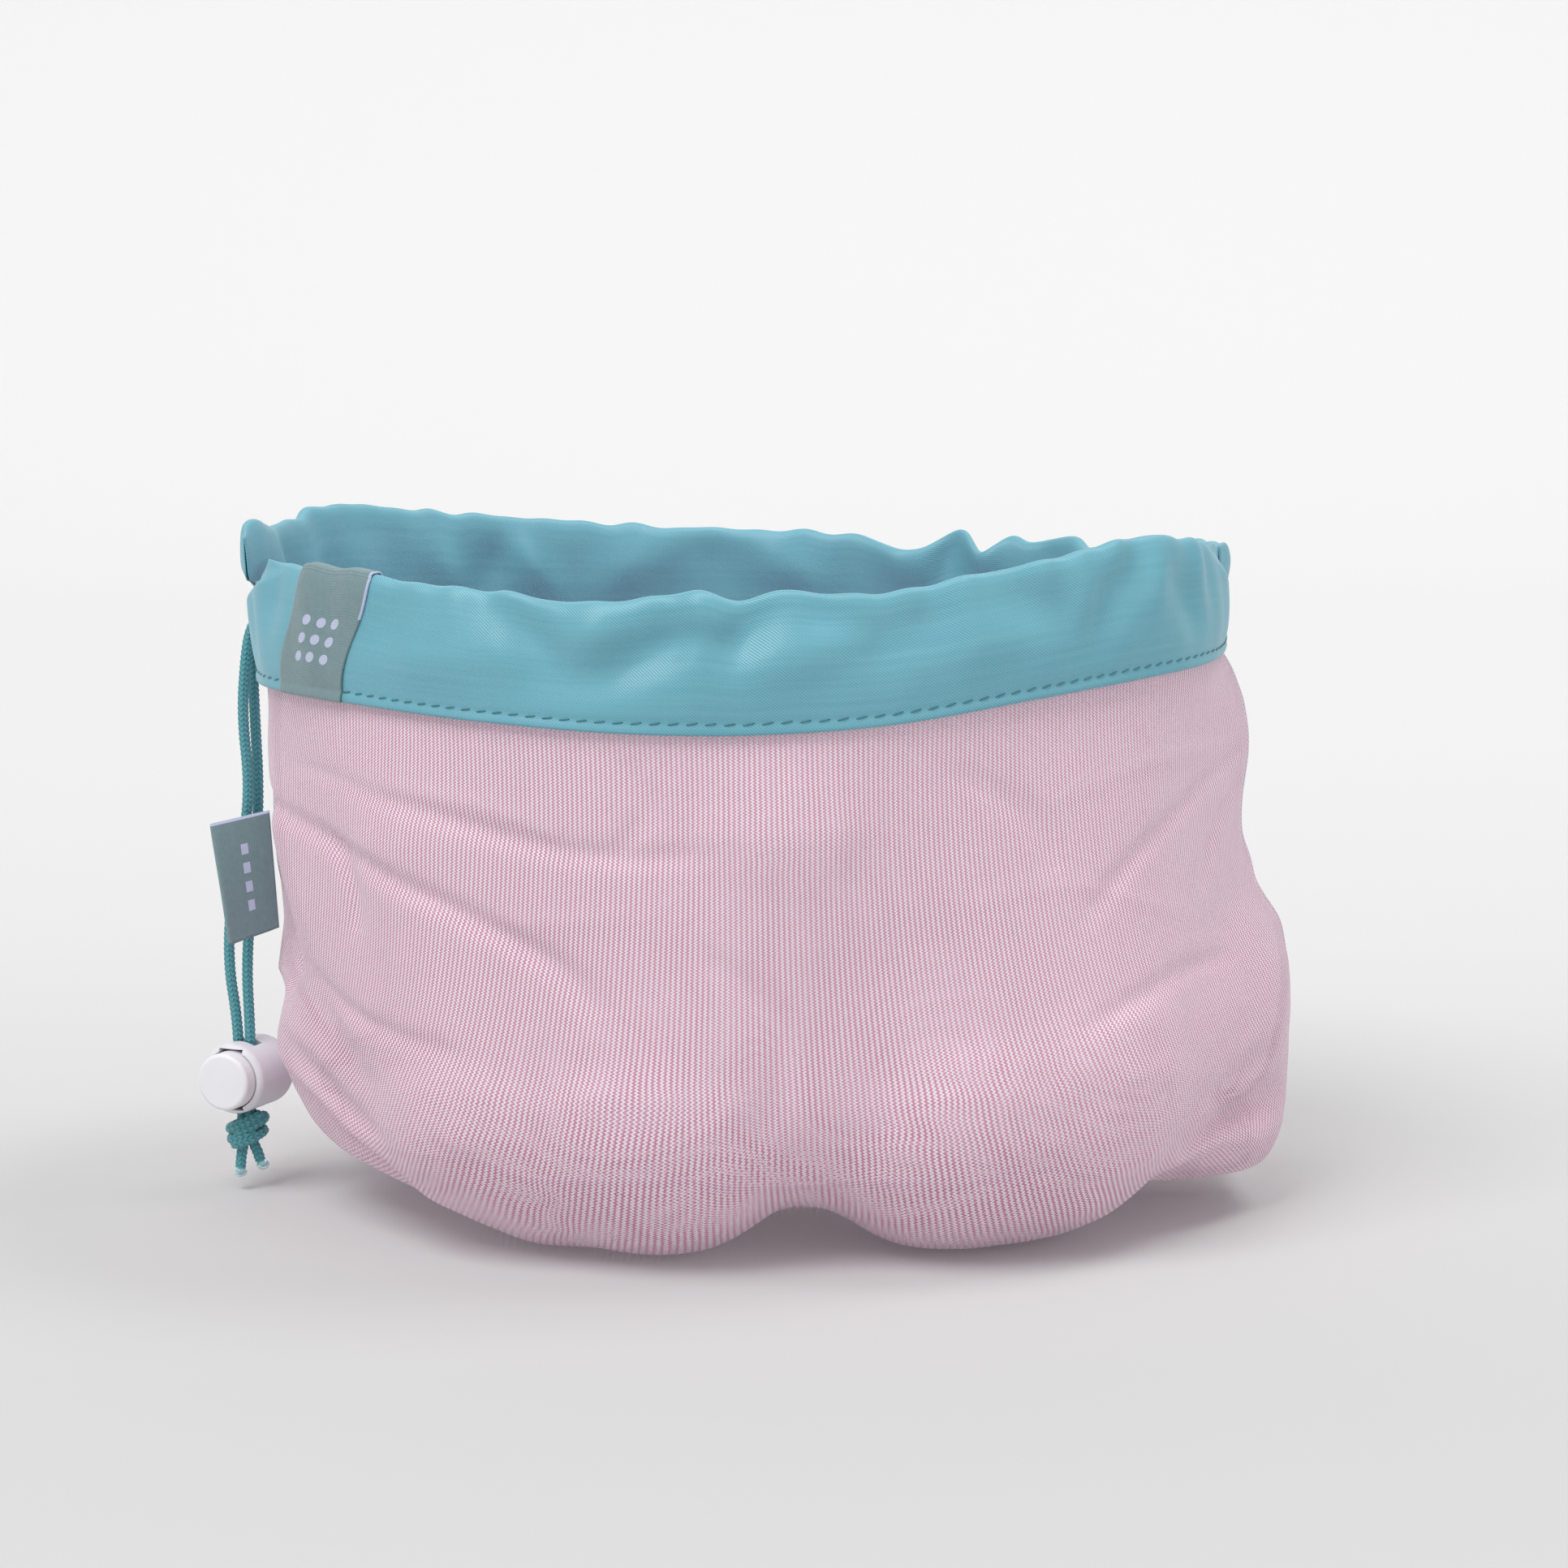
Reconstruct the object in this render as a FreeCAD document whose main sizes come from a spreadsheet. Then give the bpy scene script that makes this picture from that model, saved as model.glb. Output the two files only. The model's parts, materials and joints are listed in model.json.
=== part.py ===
"""A mesh produce bag that stands open and filled out: a net pouch under a folded satin channel, with a
drawstring in the channel, a barrel cord lock on the drawstring's hanging ends, and two woven labels.

Millimetres. +X runs along the bag's long side, -Y faces the front, +Z is up. The origin is on the
surface that the bag stands on, under the middle of its bottom seam.
"""
import FreeCAD, Part
import Sketcher
import math
import os
import re
from FreeCAD import Placement, Rotation, Vector

doc = FreeCAD.newDocument("ProduceBag")
sheet = doc.addObject("Spreadsheet::Sheet", "Dims")

# Driving dimensions. Widths run along X, depths along Y and heights along Z.
DIMENSIONS = {
    # Level sections of the net pouch: each oval's height, half width, half depth and centre's X
    "foot_height": 0.0,
    "foot_width": 66.0,
    "foot_depth": 56.0,
    "foot_shift": 3.0,
    "heel_height": 8.0,
    "heel_width": 83.5,
    "heel_depth": 68.5,
    "heel_shift": 4.5,
    "flank_height": 22.0,
    "flank_width": 95.0,
    "flank_depth": 80.0,
    "flank_shift": 6.0,
    "belly_height": 42.0,
    "belly_width": 99.8,
    "belly_depth": 87.5,
    "belly_shift": 6.0,
    "waist_height": 68.0,
    "waist_width": 96.5,
    "waist_depth": 89.0,
    "waist_shift": 1.5,
    "shoulder_height": 92.0,
    "shoulder_width": 95.0,
    "shoulder_depth": 84.8,
    "shoulder_shift": 0.1,
    "hem_height": 102.0,
    "hem_width": 93.5,
    "hem_depth": 82.9,
    "hem_shift": -1.4,
    "collar_height": 110.0,
    "collar_width": 93.5,
    "collar_depth": 82.7,
    "collar_shift": -1.4,
    "net_wall": 1.2,
    # Seams: both panels' edges are turned inside and sewn together
    "seam_gap": 0.45,
    "seam_allowance": 5.0,
    "side_seam_start": 70.0,
    "side_seam_top": 103.5,
    # Channel band: one strip each for the front and the back, folded over the rim
    "band_width": 95.2,
    "band_depth": 84.4,
    "band_shift": -1.4,
    "band_foot": 104.0,
    "band_top": 134.0,
    "band_wall": 0.8,
    "channel_gap": 3.0,
    "channel_foot": 110.5,
    "slot_play": 0.2,
    "cut_overrun": 1.0,
    "cut_lap": 0.1,
    "notch_foot": 108.0,
    "notch_lean": 7.0,
    "window_half": 7.0,
    "window_foot": 112.0,
    "window_top": 123.0,
    "thread_size": 0.4,
    "stitch_height": 106.4,
    # Woven label over the front rim, and woven loop tag in the left side seam
    "label_wall": 0.5,
    "label_foot": 104.4,
    "label_across": 18.0,
    "label_cut_depth": 30.0,
    "label_centre_x": -76.0,
    "tag_reach": 12.0,
    "tag_height": 23.5,
    "tag_wall": 0.4,
    "tag_gap": 0.4,
    "tag_foot": 53.6,
    "tag_x": -95.5,
    "tag_y": -3.4,
    "tag_turn": 8.0,
    # Drawstring
    "cord_diameter": 2.2,
    "loop_height": 118.0,
    "loop_end_radius": 75.2,
    "loop_mouth": 10.5,
    "cord_joint_gap": 0.3,
    "knot_centre_x": -101.8,
    "knot_centre_z": 12.3,
    "knot_half_width": 4.6,
    "knot_half_depth": 3.9,
    "knot_half_height": 3.9,
    "tip_length": 1.8,
    "tip_diameter": 2.6,
    # Barrel cord lock, along its own axis from the button (front) to its closed back
    "lock_x": -101.8,
    "lock_y": 0.0,
    "lock_z": 23.7,
    "lock_turn": -25.0,
    "lock_diameter": 14.2,
    "lock_front": 6.2,
    "lock_back": 7.3,
    "lock_back_wall": 1.3,
    "lock_rounding": 1.4,
    "bore_diameter": 12.0,
    "relief_across": 5.4,
    "relief_tall": 12.4,
    "cord_hole_across": 6.2,
    "cord_hole_long": 3.2,
    "cord_hole_offset": 0.5,
    "button_diameter": 11.5,
    "button_front": 9.4,
    "button_back": 2.4,
    "button_rounding": 0.8,
    "button_hole_front": 4.6,
    "button_hole_back": 1.0,
    "spring_diameter": 7.0,
    "spring_wire": 0.6,
    "spring_turns": 3.0,
}
for row, (alias, value) in enumerate(DIMENSIONS.items(), start=1):
    sheet.set(f"A{row}", alias)
    sheet.set(f"B{row}", str(value))
    sheet.setAlias(f"B{row}", alias)
doc.recompute()

SPACE = 300.0  # a cutting block's size, larger than the bag


def dim(name):
    """A driving dimension's value, for the shapes that are set by this file's own code."""
    return float(sheet.get(name))


def d(text):
    """An expression with each driving dimension's name turned into a reference to its cell."""
    return re.sub(r"[a-z_]+", lambda w: f"Dims.{w[0]}" if w[0] in DIMENSIONS else w[0], text)


def bind(thing, **expressions):
    """Binds properties of thing to expressions; a double underscore stands for a dot."""
    for name, expression in expressions.items():
        thing.setExpression(name.replace("__", "."), d(expression))


# ---------------------------------------------------------------- Part helpers


def ellipse(name, half_width, half_depth, height, shift):
    """A level oval, with its centre on the XZ plane."""
    oval = doc.addObject("Part::Ellipse", name)
    bind(oval, MajorRadius=half_width, MinorRadius=half_depth)
    bind(oval, Placement__Base__z=height, Placement__Base__x=shift)
    return oval


def oval_block(name, half_width, half_depth, foot, top):
    """An upright block with an oval plan, about the channel band's middle."""
    block = doc.addObject("Part::Extrusion", name)
    block.Base = ellipse(f"{name}_plan", half_width, half_depth, foot, "band_shift")
    block.DirMode = "Custom"
    block.Dir = Vector(0, 0, 1)
    block.Solid = True
    bind(block, LengthFwd=f"({top}) - ({foot})")
    return block


def box(name, corner, size):
    """A block from its lowest corner and its size, each a list of three expressions."""
    block = doc.addObject("Part::Box", name)
    bind(block, Length=size[0], Width=size[1], Height=size[2])
    bind(block, Placement__Base__x=corner[0], Placement__Base__y=corner[1], Placement__Base__z=corner[2])
    return block


def combine(kind, name, base, tool, label=None):
    """A Part::Cut, Part::Fuse or Part::Common of two objects."""
    made = doc.addObject(f"Part::{kind}", name)
    made.Base = base
    made.Tool = tool
    if label:
        made.Label = label
    return made


# ---------------------------------------------------------------- net pouch

LEVELS = ["foot", "heel", "flank", "belly", "waist", "shoulder", "hem", "collar"]


def pouch(name, inset):
    """The pouch's solid, drawn in by inset all round and at its foot; a negative inset makes it larger."""
    body = doc.addObject("Part::Loft", name)
    sections = []
    for level in LEVELS:
        height = inset if level == "foot" else f"{level}_height"
        width, depth = (f"{level}_{way} - ({inset})" for way in ("width", "depth"))
        sections.append(ellipse(f"{name}_{level}", width, depth, height, f"{level}_shift"))
    body.Sections = sections
    body.Solid = True
    body.Ruled = False
    return body


pouch_outside = pouch("PouchOutside", "0")
pouch_inside = pouch("PouchInside", "net_wall")
pouch_allowance = pouch("PouchAllowance", "seam_allowance")
front_space = box("FrontSpace", [f"-{SPACE} / 2", f"-{SPACE} - seam_gap", "-cut_overrun"], [f"{SPACE}"] * 3)
back_space = box("BackSpace", [f"-{SPACE} / 2", "seam_gap", "-cut_overrun"], [f"{SPACE}"] * 3)
front_shell = combine("Cut", "FrontShell", pouch_outside, pouch_inside)
back_shell = combine("Cut", "BackShell", pouch_outside, pouch_inside)
combine("Common", "FrontPanel", front_shell, front_space, "mesh_front_panel")
combine("Common", "BackPanel", back_shell, back_space, "mesh_back_panel")

# The two panels' turned edges stand as one thin rib round the left side, the bottom and the right side.
seam_rib = combine("Cut", "SeamRib", pouch_outside, pouch_allowance)
SEAM_THICK = "2 * seam_gap - cut_lap"
RIB_Y = "cut_lap / 2 - seam_gap"
SEAM_SPACES = {
    "left_side_seam": (
        [f"-{SPACE}", RIB_Y, "0"],
        [f"{SPACE} - side_seam_start", SEAM_THICK, "side_seam_top"],
    ),
    "right_side_seam": (
        ["side_seam_start", RIB_Y, "0"],
        [f"{SPACE}", SEAM_THICK, "side_seam_top"],
    ),
    "bottom_seam": (
        ["-side_seam_start + cut_lap", RIB_Y, "-cut_overrun"],
        ["2 * ( side_seam_start - cut_lap )", SEAM_THICK, "belly_height"],
    ),
}
for label, (corner, size) in SEAM_SPACES.items():
    space = box(f"{label}_space", corner, size)
    combine("Common", f"{label}_strip", seam_rib, space, label)

# ---------------------------------------------------------------- channel band


def oval_ring(name, outset, inset, foot, top):
    """A ring between two ovals, given as the distances outside and inside the band's outer face."""
    outer = oval_block(f"{name}_outer", f"band_width + {outset}", f"band_depth + {outset}", foot, top)
    inner = oval_block(f"{name}_inner", f"band_width - {inset}", f"band_depth - {inset}", foot, top)
    return combine("Cut", name, outer, inner)


BAND_THICK = "( 2 * band_wall + channel_gap )"
envelope = oval_ring("BandEnvelope", "0", BAND_THICK, "band_foot", "band_top")
channel = oval_ring(
    "Channel", "-band_wall", "( band_wall + channel_gap )", "channel_foot", "band_top - band_wall"
)
slot_outside = pouch("SlotOutside", "-slot_play")
slot_inside = pouch("SlotInside", "net_wall + slot_play")
net_slot = combine("Cut", "NetSlot", slot_outside, slot_inside)
folded_band = combine("Cut", "FoldedBand", combine("Cut", "HollowBand", envelope, channel), net_slot)

# At the left side the strips' ends stand open: a V from the rim down, and a window for the two cords.
window = box(
    "ExitWindow",
    [f"-{SPACE}", "-window_half", "window_foot"],
    [
        f"{SPACE} + band_shift - band_width + band_wall + channel_gap",
        "2 * window_half",
        "window_top - window_foot",
    ],
)
open_band = combine("Cut", "OpenBand", folded_band, window)
NOTCH_DEEP = SPACE / 10  # a notch block's size along Y
for side, lean, space in (("front", -1, front_space), ("back", 1, back_space)):
    leaning = doc.addObject("Part::Box", f"Notch_{side}")
    bind(leaning, Length=f"{SPACE} / 2", Width=f"{NOTCH_DEEP}", Height=f"{SPACE} / 4")
    tilt = Rotation(Vector(1, 0, 0), -lean * dim("notch_lean"))
    foot = Vector(-SPACE * 0.75, 0, dim("notch_foot"))
    edge = Vector(0, NOTCH_DEEP if lean > 0 else 0, 0)
    leaning.Placement = Placement(foot - tilt.multVec(edge), tilt)
    half = combine("Common", f"BandHalf_{side}", open_band, space)
    combine("Cut", f"Band_{side}", half, leaning, f"channel_band_{side}")

# Lockstitch round the band's foot: the needle thread outside and the bobbin thread inside.
needle = oval_ring("NeedleThread", "thread_size", "0", "stitch_height", "stitch_height + thread_size")
bobbin = oval_ring(
    "BobbinThread",
    f"-{BAND_THICK}",
    f"( {BAND_THICK} + thread_size )",
    "stitch_height",
    "stitch_height + thread_size",
)
stitching = combine("Fuse", "Stitching", needle, bobbin, "channel_stitching")

# ---------------------------------------------------------------- woven labels

label_sheet = oval_ring(
    "LabelSheet", "label_wall", f"( {BAND_THICK} + label_wall )", "label_foot", "band_top + label_wall"
)
label_core = oval_ring("LabelCore", "0", BAND_THICK, "label_foot - cut_overrun", "band_top")
label_fold = combine("Cut", "LabelFold", label_sheet, label_core)


def front_of_band(x):
    """The band's front face at x: its Y there, and the face's turn about Z in degrees."""
    wide, deep, out = dim("band_width"), dim("band_depth"), x - dim("band_shift")
    y = -deep * math.sqrt(1 - (out / wide) ** 2)
    return y, math.degrees(math.atan2(out * deep**2, -y * wide**2))


label_x = dim("label_centre_x")
label_y, label_turn = front_of_band(label_x)
label_space = doc.addObject("Part::Box", "LabelSpace")
bind(label_space, Length="label_across", Width="label_cut_depth", Height=f"{SPACE}")
turn = Rotation(Vector(0, 0, 1), label_turn)
corner = Vector(dim("label_across") / 2, dim("label_cut_depth") / 2, 0)
label_space.Placement = Placement(Vector(label_x, label_y, 0) - turn.multVec(corner), turn)
label_piece = combine("Common", "LabelPiece", label_fold, label_space)
combine("Cut", "RimLabel", label_piece, stitching, "rim_label")

# ---------------------------------------------------------------- PartDesign helpers


def origin_plane(body, role):
    return next(f for f in body.Origin.OriginFeatures if f.Role == role)


def sketch_on(body, name, role, offset="0"):
    """A sketch on one of the body's origin planes, moved along that plane's normal."""
    made = body.newObject("Sketcher::SketchObject", name)
    made.AttachmentSupport = [(origin_plane(body, role), "")]
    made.MapMode = "FlatFace"
    made.setExpression("AttachmentOffset.Base.z", d(offset))
    return made


def circle_sketch(body, name, role, diameter, offset="0"):
    made = sketch_on(body, name, role, offset)
    made.addGeometry(Part.Circle(Vector(0, 0, 0), Vector(0, 0, 1), 5.0), False)
    made.addConstraint(Sketcher.Constraint("Coincident", 0, 3, -1, 1))
    number = made.addConstraint(Sketcher.Constraint("Diameter", 0, 10.0))
    made.setExpression(f"Constraints[{number}]", d(diameter))
    return made


def rectangle_sketch(body, name, role, left, right, low, high, offset="0"):
    """A rectangle between two X values and two Y values of the sketch."""
    made = sketch_on(body, name, role, offset)
    corners = [Vector(-3, -2, 0), Vector(3, -2, 0), Vector(3, 2, 0), Vector(-3, 2, 0)]
    for start, end in zip(corners, corners[1:] + corners[:1]):
        made.addGeometry(Part.LineSegment(start, end), False)
    for edge in range(4):
        made.addConstraint(Sketcher.Constraint("Coincident", edge, 2, (edge + 1) % 4, 1))
        made.addConstraint(Sketcher.Constraint("Vertical" if edge % 2 else "Horizontal", edge))
    # The origin's distances to the low left corner and to the high right corner
    for kind, edge, expression, start in (
        ("DistanceX", 0, left, -3.0),
        ("DistanceY", 0, low, -2.0),
        ("DistanceX", 2, right, 3.0),
        ("DistanceY", 2, high, 2.0),
    ):
        number = made.addConstraint(Sketcher.Constraint(kind, -1, 1, edge, 1, start))
        made.setExpression(f"Constraints[{number}]", d(expression))
    return made


def pad(body, name, profile, length):
    made = body.newObject("PartDesign::Pad", name)
    made.Profile = profile
    made.setExpression("Length", d(length))
    return made


def pocket(body, name, profile, length=None):
    """A blind pocket of the given length, or one right through both ways."""
    made = body.newObject("PartDesign::Pocket", name)
    made.Profile = profile
    if length is None:
        made.Type = "ThroughAll"
        made.Midplane = True
    else:
        made.setExpression("Length", d(length))
    return made


def new_body(name, label):
    body = doc.addObject("PartDesign::Body", name)
    body.Label = label
    return body


def edges_of(shape, wanted):
    """The names of the edges of shape that wanted picks."""
    return [f"Edge{i}" for i, edge in enumerate(shape.Edges, start=1) if wanted(edge)]


def rounded_rim(body, name, base, radius, wanted):
    doc.recompute()
    made = body.newObject("PartDesign::Fillet", name)
    made.Base = (base, edges_of(base.Shape, wanted))
    made.setExpression("Radius", d(radius))
    return made


def is_ring(edge, y, diameter):
    """True for a full circle about the Y axis at this y, of this diameter."""
    curve = edge.Curve
    return (
        isinstance(curve, Part.Circle)
        and abs(curve.Center.y - y) < 0.01
        and abs(2 * curve.Radius - diameter) < 0.01
    )


# ---------------------------------------------------------------- side tag

# The tape is folded once: two layers with a round fold at the free end, both sewn into the side seam.
tag = new_body("SideTag", "side_tag")
tag_across = "( 2 * tag_wall + tag_gap )"
tag_outline = rectangle_sketch(
    tag, "TagOutline", "XY_Plane", "-tag_reach", "0", f"-{tag_across} / 2", f"{tag_across} / 2"
)
tag_block = pad(tag, "TagBlock", tag_outline, "tag_height")
tag_inside = rectangle_sketch(
    tag, "TagInside", "XY_Plane", "tag_wall - tag_reach", "1", "-tag_gap / 2", "tag_gap / 2", "tag_height"
)
tag_opening = pocket(tag, "TagOpening", tag_inside, "tag_height")
tag_fold = rounded_rim(
    tag,
    "TagFold",
    tag_opening,
    "tag_wall",
    lambda e: abs(e.Length - dim("tag_height")) < 0.01
    and abs(e.CenterOfMass.x + dim("tag_reach")) < 0.01
    and abs(abs(e.CenterOfMass.y) - dim("tag_wall") - dim("tag_gap") / 2) < 0.01,
)
tag.Placement = Placement(
    Vector(dim("tag_x"), dim("tag_y"), dim("tag_foot")), Rotation(Vector(0, 0, 1), dim("tag_turn"))
)

# ---------------------------------------------------------------- cord lock

# Each lock piece is drawn about its own Y axis, with the button towards -Y, and then set in place.
# A sketch on XZ_Plane has its normal along -Y.
lock_place = Placement(
    Vector(dim("lock_x"), dim("lock_y"), dim("lock_z")), Rotation(Vector(0, 0, 1), dim("lock_turn"))
)

housing = new_body("LockHousing", "cord_lock_housing")
barrel = pad(
    housing,
    "Barrel",
    circle_sketch(housing, "BarrelOutline", "XZ_Plane", "lock_diameter", "-lock_back"),
    "lock_front + lock_back",
)
barrel_round = rounded_rim(
    housing,
    "BarrelRounding",
    barrel,
    "lock_rounding",
    lambda e: is_ring(e, -dim("lock_front"), dim("lock_diameter"))
    or is_ring(e, dim("lock_back"), dim("lock_diameter")),
)
pocket(
    housing,
    "Bore",
    circle_sketch(housing, "BoreOutline", "XZ_Plane", "bore_diameter", "lock_front"),
    "lock_front + lock_back - lock_back_wall",
)
# Two reliefs in the bore's mouth, above and below, lead to the cord hole.
pocket(
    housing,
    "Relief",
    rectangle_sketch(
        housing,
        "ReliefOutline",
        "XZ_Plane",
        "-relief_across / 2",
        "relief_across / 2",
        "-relief_tall / 2",
        "relief_tall / 2",
        "lock_front",
    ),
    "lock_front + cord_hole_long / 2 - cord_hole_offset",
)
pocket(
    housing,
    "CordHole",
    rectangle_sketch(
        housing,
        "CordHoleOutline",
        "XY_Plane",
        "-cord_hole_across / 2",
        "cord_hole_across / 2",
        "-cord_hole_long / 2 - cord_hole_offset",
        "cord_hole_long / 2 - cord_hole_offset",
    ),
)
housing.Placement = lock_place

plunger = new_body("LockPlunger", "cord_lock_plunger")
button = pad(
    plunger,
    "Button",
    circle_sketch(plunger, "ButtonOutline", "XZ_Plane", "button_diameter", "-button_back"),
    "button_front + button_back",
)
rounded_rim(
    plunger,
    "ButtonRounding",
    button,
    "button_rounding",
    lambda e: is_ring(e, -dim("button_front"), dim("button_diameter")),
)
# The plunger's cord hole is longer than the housing's, so that the button can travel past the cords.
pocket(
    plunger,
    "PlungerHole",
    rectangle_sketch(
        plunger,
        "PlungerHoleOutline",
        "XY_Plane",
        "-cord_hole_across / 2",
        "cord_hole_across / 2",
        "-button_hole_front",
        "button_hole_back",
    ),
)
plunger.Placement = lock_place


def spring_shape():
    """A coil spring along +Y from the plunger's back to the housing's back wall."""
    wire = dim("spring_wire")
    clear = (wire + dim("cut_lap")) / 2
    long = dim("lock_back") - dim("lock_back_wall") - dim("button_back") - 2 * clear
    radius = (dim("spring_diameter") - wire) / 2
    coil = Part.makeHelix(long / dim("spring_turns"), long, radius)
    start = Part.Wire(Part.makeCircle(wire / 2, Vector(radius, 0, 0), Vector(0, 1, 0)))
    solid = Part.Wire(coil.Edges).makePipeShell([start], True, True)
    solid.rotate(Vector(0, 0, 0), Vector(1, 0, 0), -90)
    solid.translate(Vector(0, dim("button_back") + clear, 0))
    return solid


def feature(name, label, shape, placement=None):
    """A piece whose shape is set here, from the sheet's sizes."""
    made = doc.addObject("Part::Feature", name)
    made.Label = label
    made.Shape = shape
    if placement:
        made.Placement = placement.multiply(shape.Placement)
    return made


feature("LockSpring", "cord_lock_spring", spring_shape(), lock_place)

# ---------------------------------------------------------------- drawstring


def tube(path, diameter):
    """A round tube along a wire of straight runs and tangent arcs."""
    first = path.OrderedEdges[0]
    start, along = first.valueAt(first.FirstParameter), first.tangentAt(first.FirstParameter)
    ring = Part.Wire(Part.makeCircle(diameter / 2, start, along))
    return path.makePipeShell([ring], True, False)


ARC_SHARE = 0.45  # how much of a straight run an arc at its end may take


def rounded_path(points):
    """Straight runs joined by arcs, each arc as large as its two runs allow. Returns wire and radii."""
    points = [Vector(*p) for p in points]
    edges, radii, at = [], [], points[0]
    for before, corner, after in zip(points, points[1:], points[2:]):
        into, out = (corner - before), (after - corner)
        half_turn = into.getAngle(out) / 2
        back = ARC_SHARE * min(into.Length, out.Length)
        into.normalize()
        out.normalize()
        start, end = corner - into * back, corner + out * back
        radii.append(back / math.tan(half_turn))
        inward = (out - into).normalize()
        reach = radii[-1] / math.cos(half_turn) - radii[-1]
        edges += [Part.LineSegment(at, start), Part.Arc(start, corner + inward * reach, end)]
        at = end
    edges.append(Part.LineSegment(at, points[-1]))
    return Part.Wire([e.toShape() for e in edges]), radii


def loop_path():
    """The drawstring's oval run in the channel, in four arcs, and the X of its two ends.

    It starts at the left side and goes round the front, the right and the back.
    """
    inset = dim("band_wall") + dim("channel_gap") / 2
    wide, deep = dim("band_width") - inset, dim("band_depth") - inset
    end = dim("loop_end_radius")
    shift = wide - end  # from the middle out to an end arc's centre
    side = (shift**2 + deep**2 - end**2) / (2 * (deep - end))  # the side arcs' radius
    join = math.atan2(side - deep, shift)  # where an end arc meets a side arc
    mouth = math.asin(dim("loop_mouth") / end)
    middle, z = dim("band_shift"), dim("loop_height")

    def on_end(sign_x, angle):
        return Vector(middle + sign_x * (shift + end * math.cos(angle)), end * math.sin(angle), z)

    arcs = [
        (on_end(-1, -mouth), on_end(-1, -(mouth + join) / 2), on_end(-1, -join)),
        (on_end(-1, -join), Vector(middle, -deep, z), on_end(1, -join)),
        (on_end(1, -join), on_end(1, 0), on_end(1, join)),
        (on_end(1, join), Vector(middle, deep, z), on_end(-1, join)),
        (on_end(-1, join), on_end(-1, (mouth + join) / 2), on_end(-1, mouth)),
    ]
    return Part.Wire([Part.Arc(*arc).toShape() for arc in arcs]), on_end(-1, mouth).x


loop, mouth_x = loop_path()
feature("DrawstringLoop", "drawstring_loop", tube(loop, dim("cord_diameter")))

# The hanging ends' routes: out of the channel at the left side, down beside the bag, through the lock
# and into the knot. The front one starts at -Y and the back one at +Y.
start_y = dim("loop_mouth") - dim("cord_joint_gap")
FRONT_ROUTE = [
    (mouth_x, -start_y, 118.0),
    (-94.5, -5.6, 117.9),
    (-96.9, -2.7, 117.0),
    (-99.5, -1.6, 113.8),
    (-100.6, -1.5, 107.0),
    (-101.4, -1.1, 96.0),
    (-100.1, -0.9, 82.0),
    (-101.9, -0.5, 69.0),
    (-104.6, -0.3, 57.0),
    (-105.0, -0.3, 45.5),
    (-103.5, 0.0, 35.0),
    (-103.2, 0.1, 24.5),
    (-102.7, 0.1, 12.5),
]
BACK_ROUTE = [
    (mouth_x, start_y, 118.0),
    (-94.5, 5.6, 117.8),
    (-96.7, 2.9, 116.6),
    (-98.8, 2.0, 113.0),
    (-99.5, 1.9, 106.0),
    (-99.2, 2.3, 94.5),
    (-98.7, 2.4, 81.0),
    (-99.4, 1.9, 67.5),
    (-100.9, 0.8, 55.0),
    (-101.4, -0.3, 44.0),
    (-100.9, -0.9, 34.0),
    (-100.8, -1.0, 24.0),
    (-101.2, -0.6, 12.5),
]
knot_centre = Vector(dim("knot_centre_x"), 0, dim("knot_centre_z"))


def ellipsoid(centre, half_width, half_depth, half_height):
    """A closed ellipsoid: a sphere stretched along each axis."""
    stretch = FreeCAD.Matrix()
    stretch.scale(half_width, half_depth, half_height)
    solid = Part.makeSphere(1.0).transformGeometry(stretch)
    solid.translate(centre)
    return solid


knot = ellipsoid(knot_centre, dim("knot_half_width"), dim("knot_half_depth"), dim("knot_half_height"))
cord_section = math.pi * dim("cord_diameter") ** 2 / 4
for label, route in (("drawstring_tail_front", FRONT_ROUTE), ("drawstring_tail_back", BACK_ROUTE)):
    path, radii = rounded_path(route)
    cord = tube(path, dim("cord_diameter"))
    share = cord.Volume / (cord_section * path.Length)
    print(label, "length", round(path.Length, 1), "smallest radius", round(min(radii), 1))
    print(label, "volume as a share of a straight cord's", round(share, 4))
    feature(label, label, cord.cut(knot))

# Below the knot two short ends hang, each with a melted bead for a tip.
END_ROUTES = {
    "drawstring_end_front": ((-102.6, -0.3, 11.0), (-103.3, -0.6, 4.6)),
    "drawstring_end_back": ((-100.6, 0.3, 11.0), (-99.3, 0.5, 5.8)),
}
tips = []
for label, (top, foot) in END_ROUTES.items():
    top, foot = Vector(*top), Vector(*foot)
    along = (foot - top).normalize()
    short = Part.makeCylinder(dim("cord_diameter") / 2, (foot - top).Length, top, along)
    feature(label, label, short.cut(knot))
    tips.append(
        Part.makeCone(dim("cord_diameter") / 2, dim("tip_diameter") / 2, dim("tip_length"), foot, along)
    )
feature("DrawstringKnot", "drawstring_knot", knot)
feature("CordTips", "cord_tips", Part.makeCompound(tips))

# ---------------------------------------------------------------- export

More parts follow.
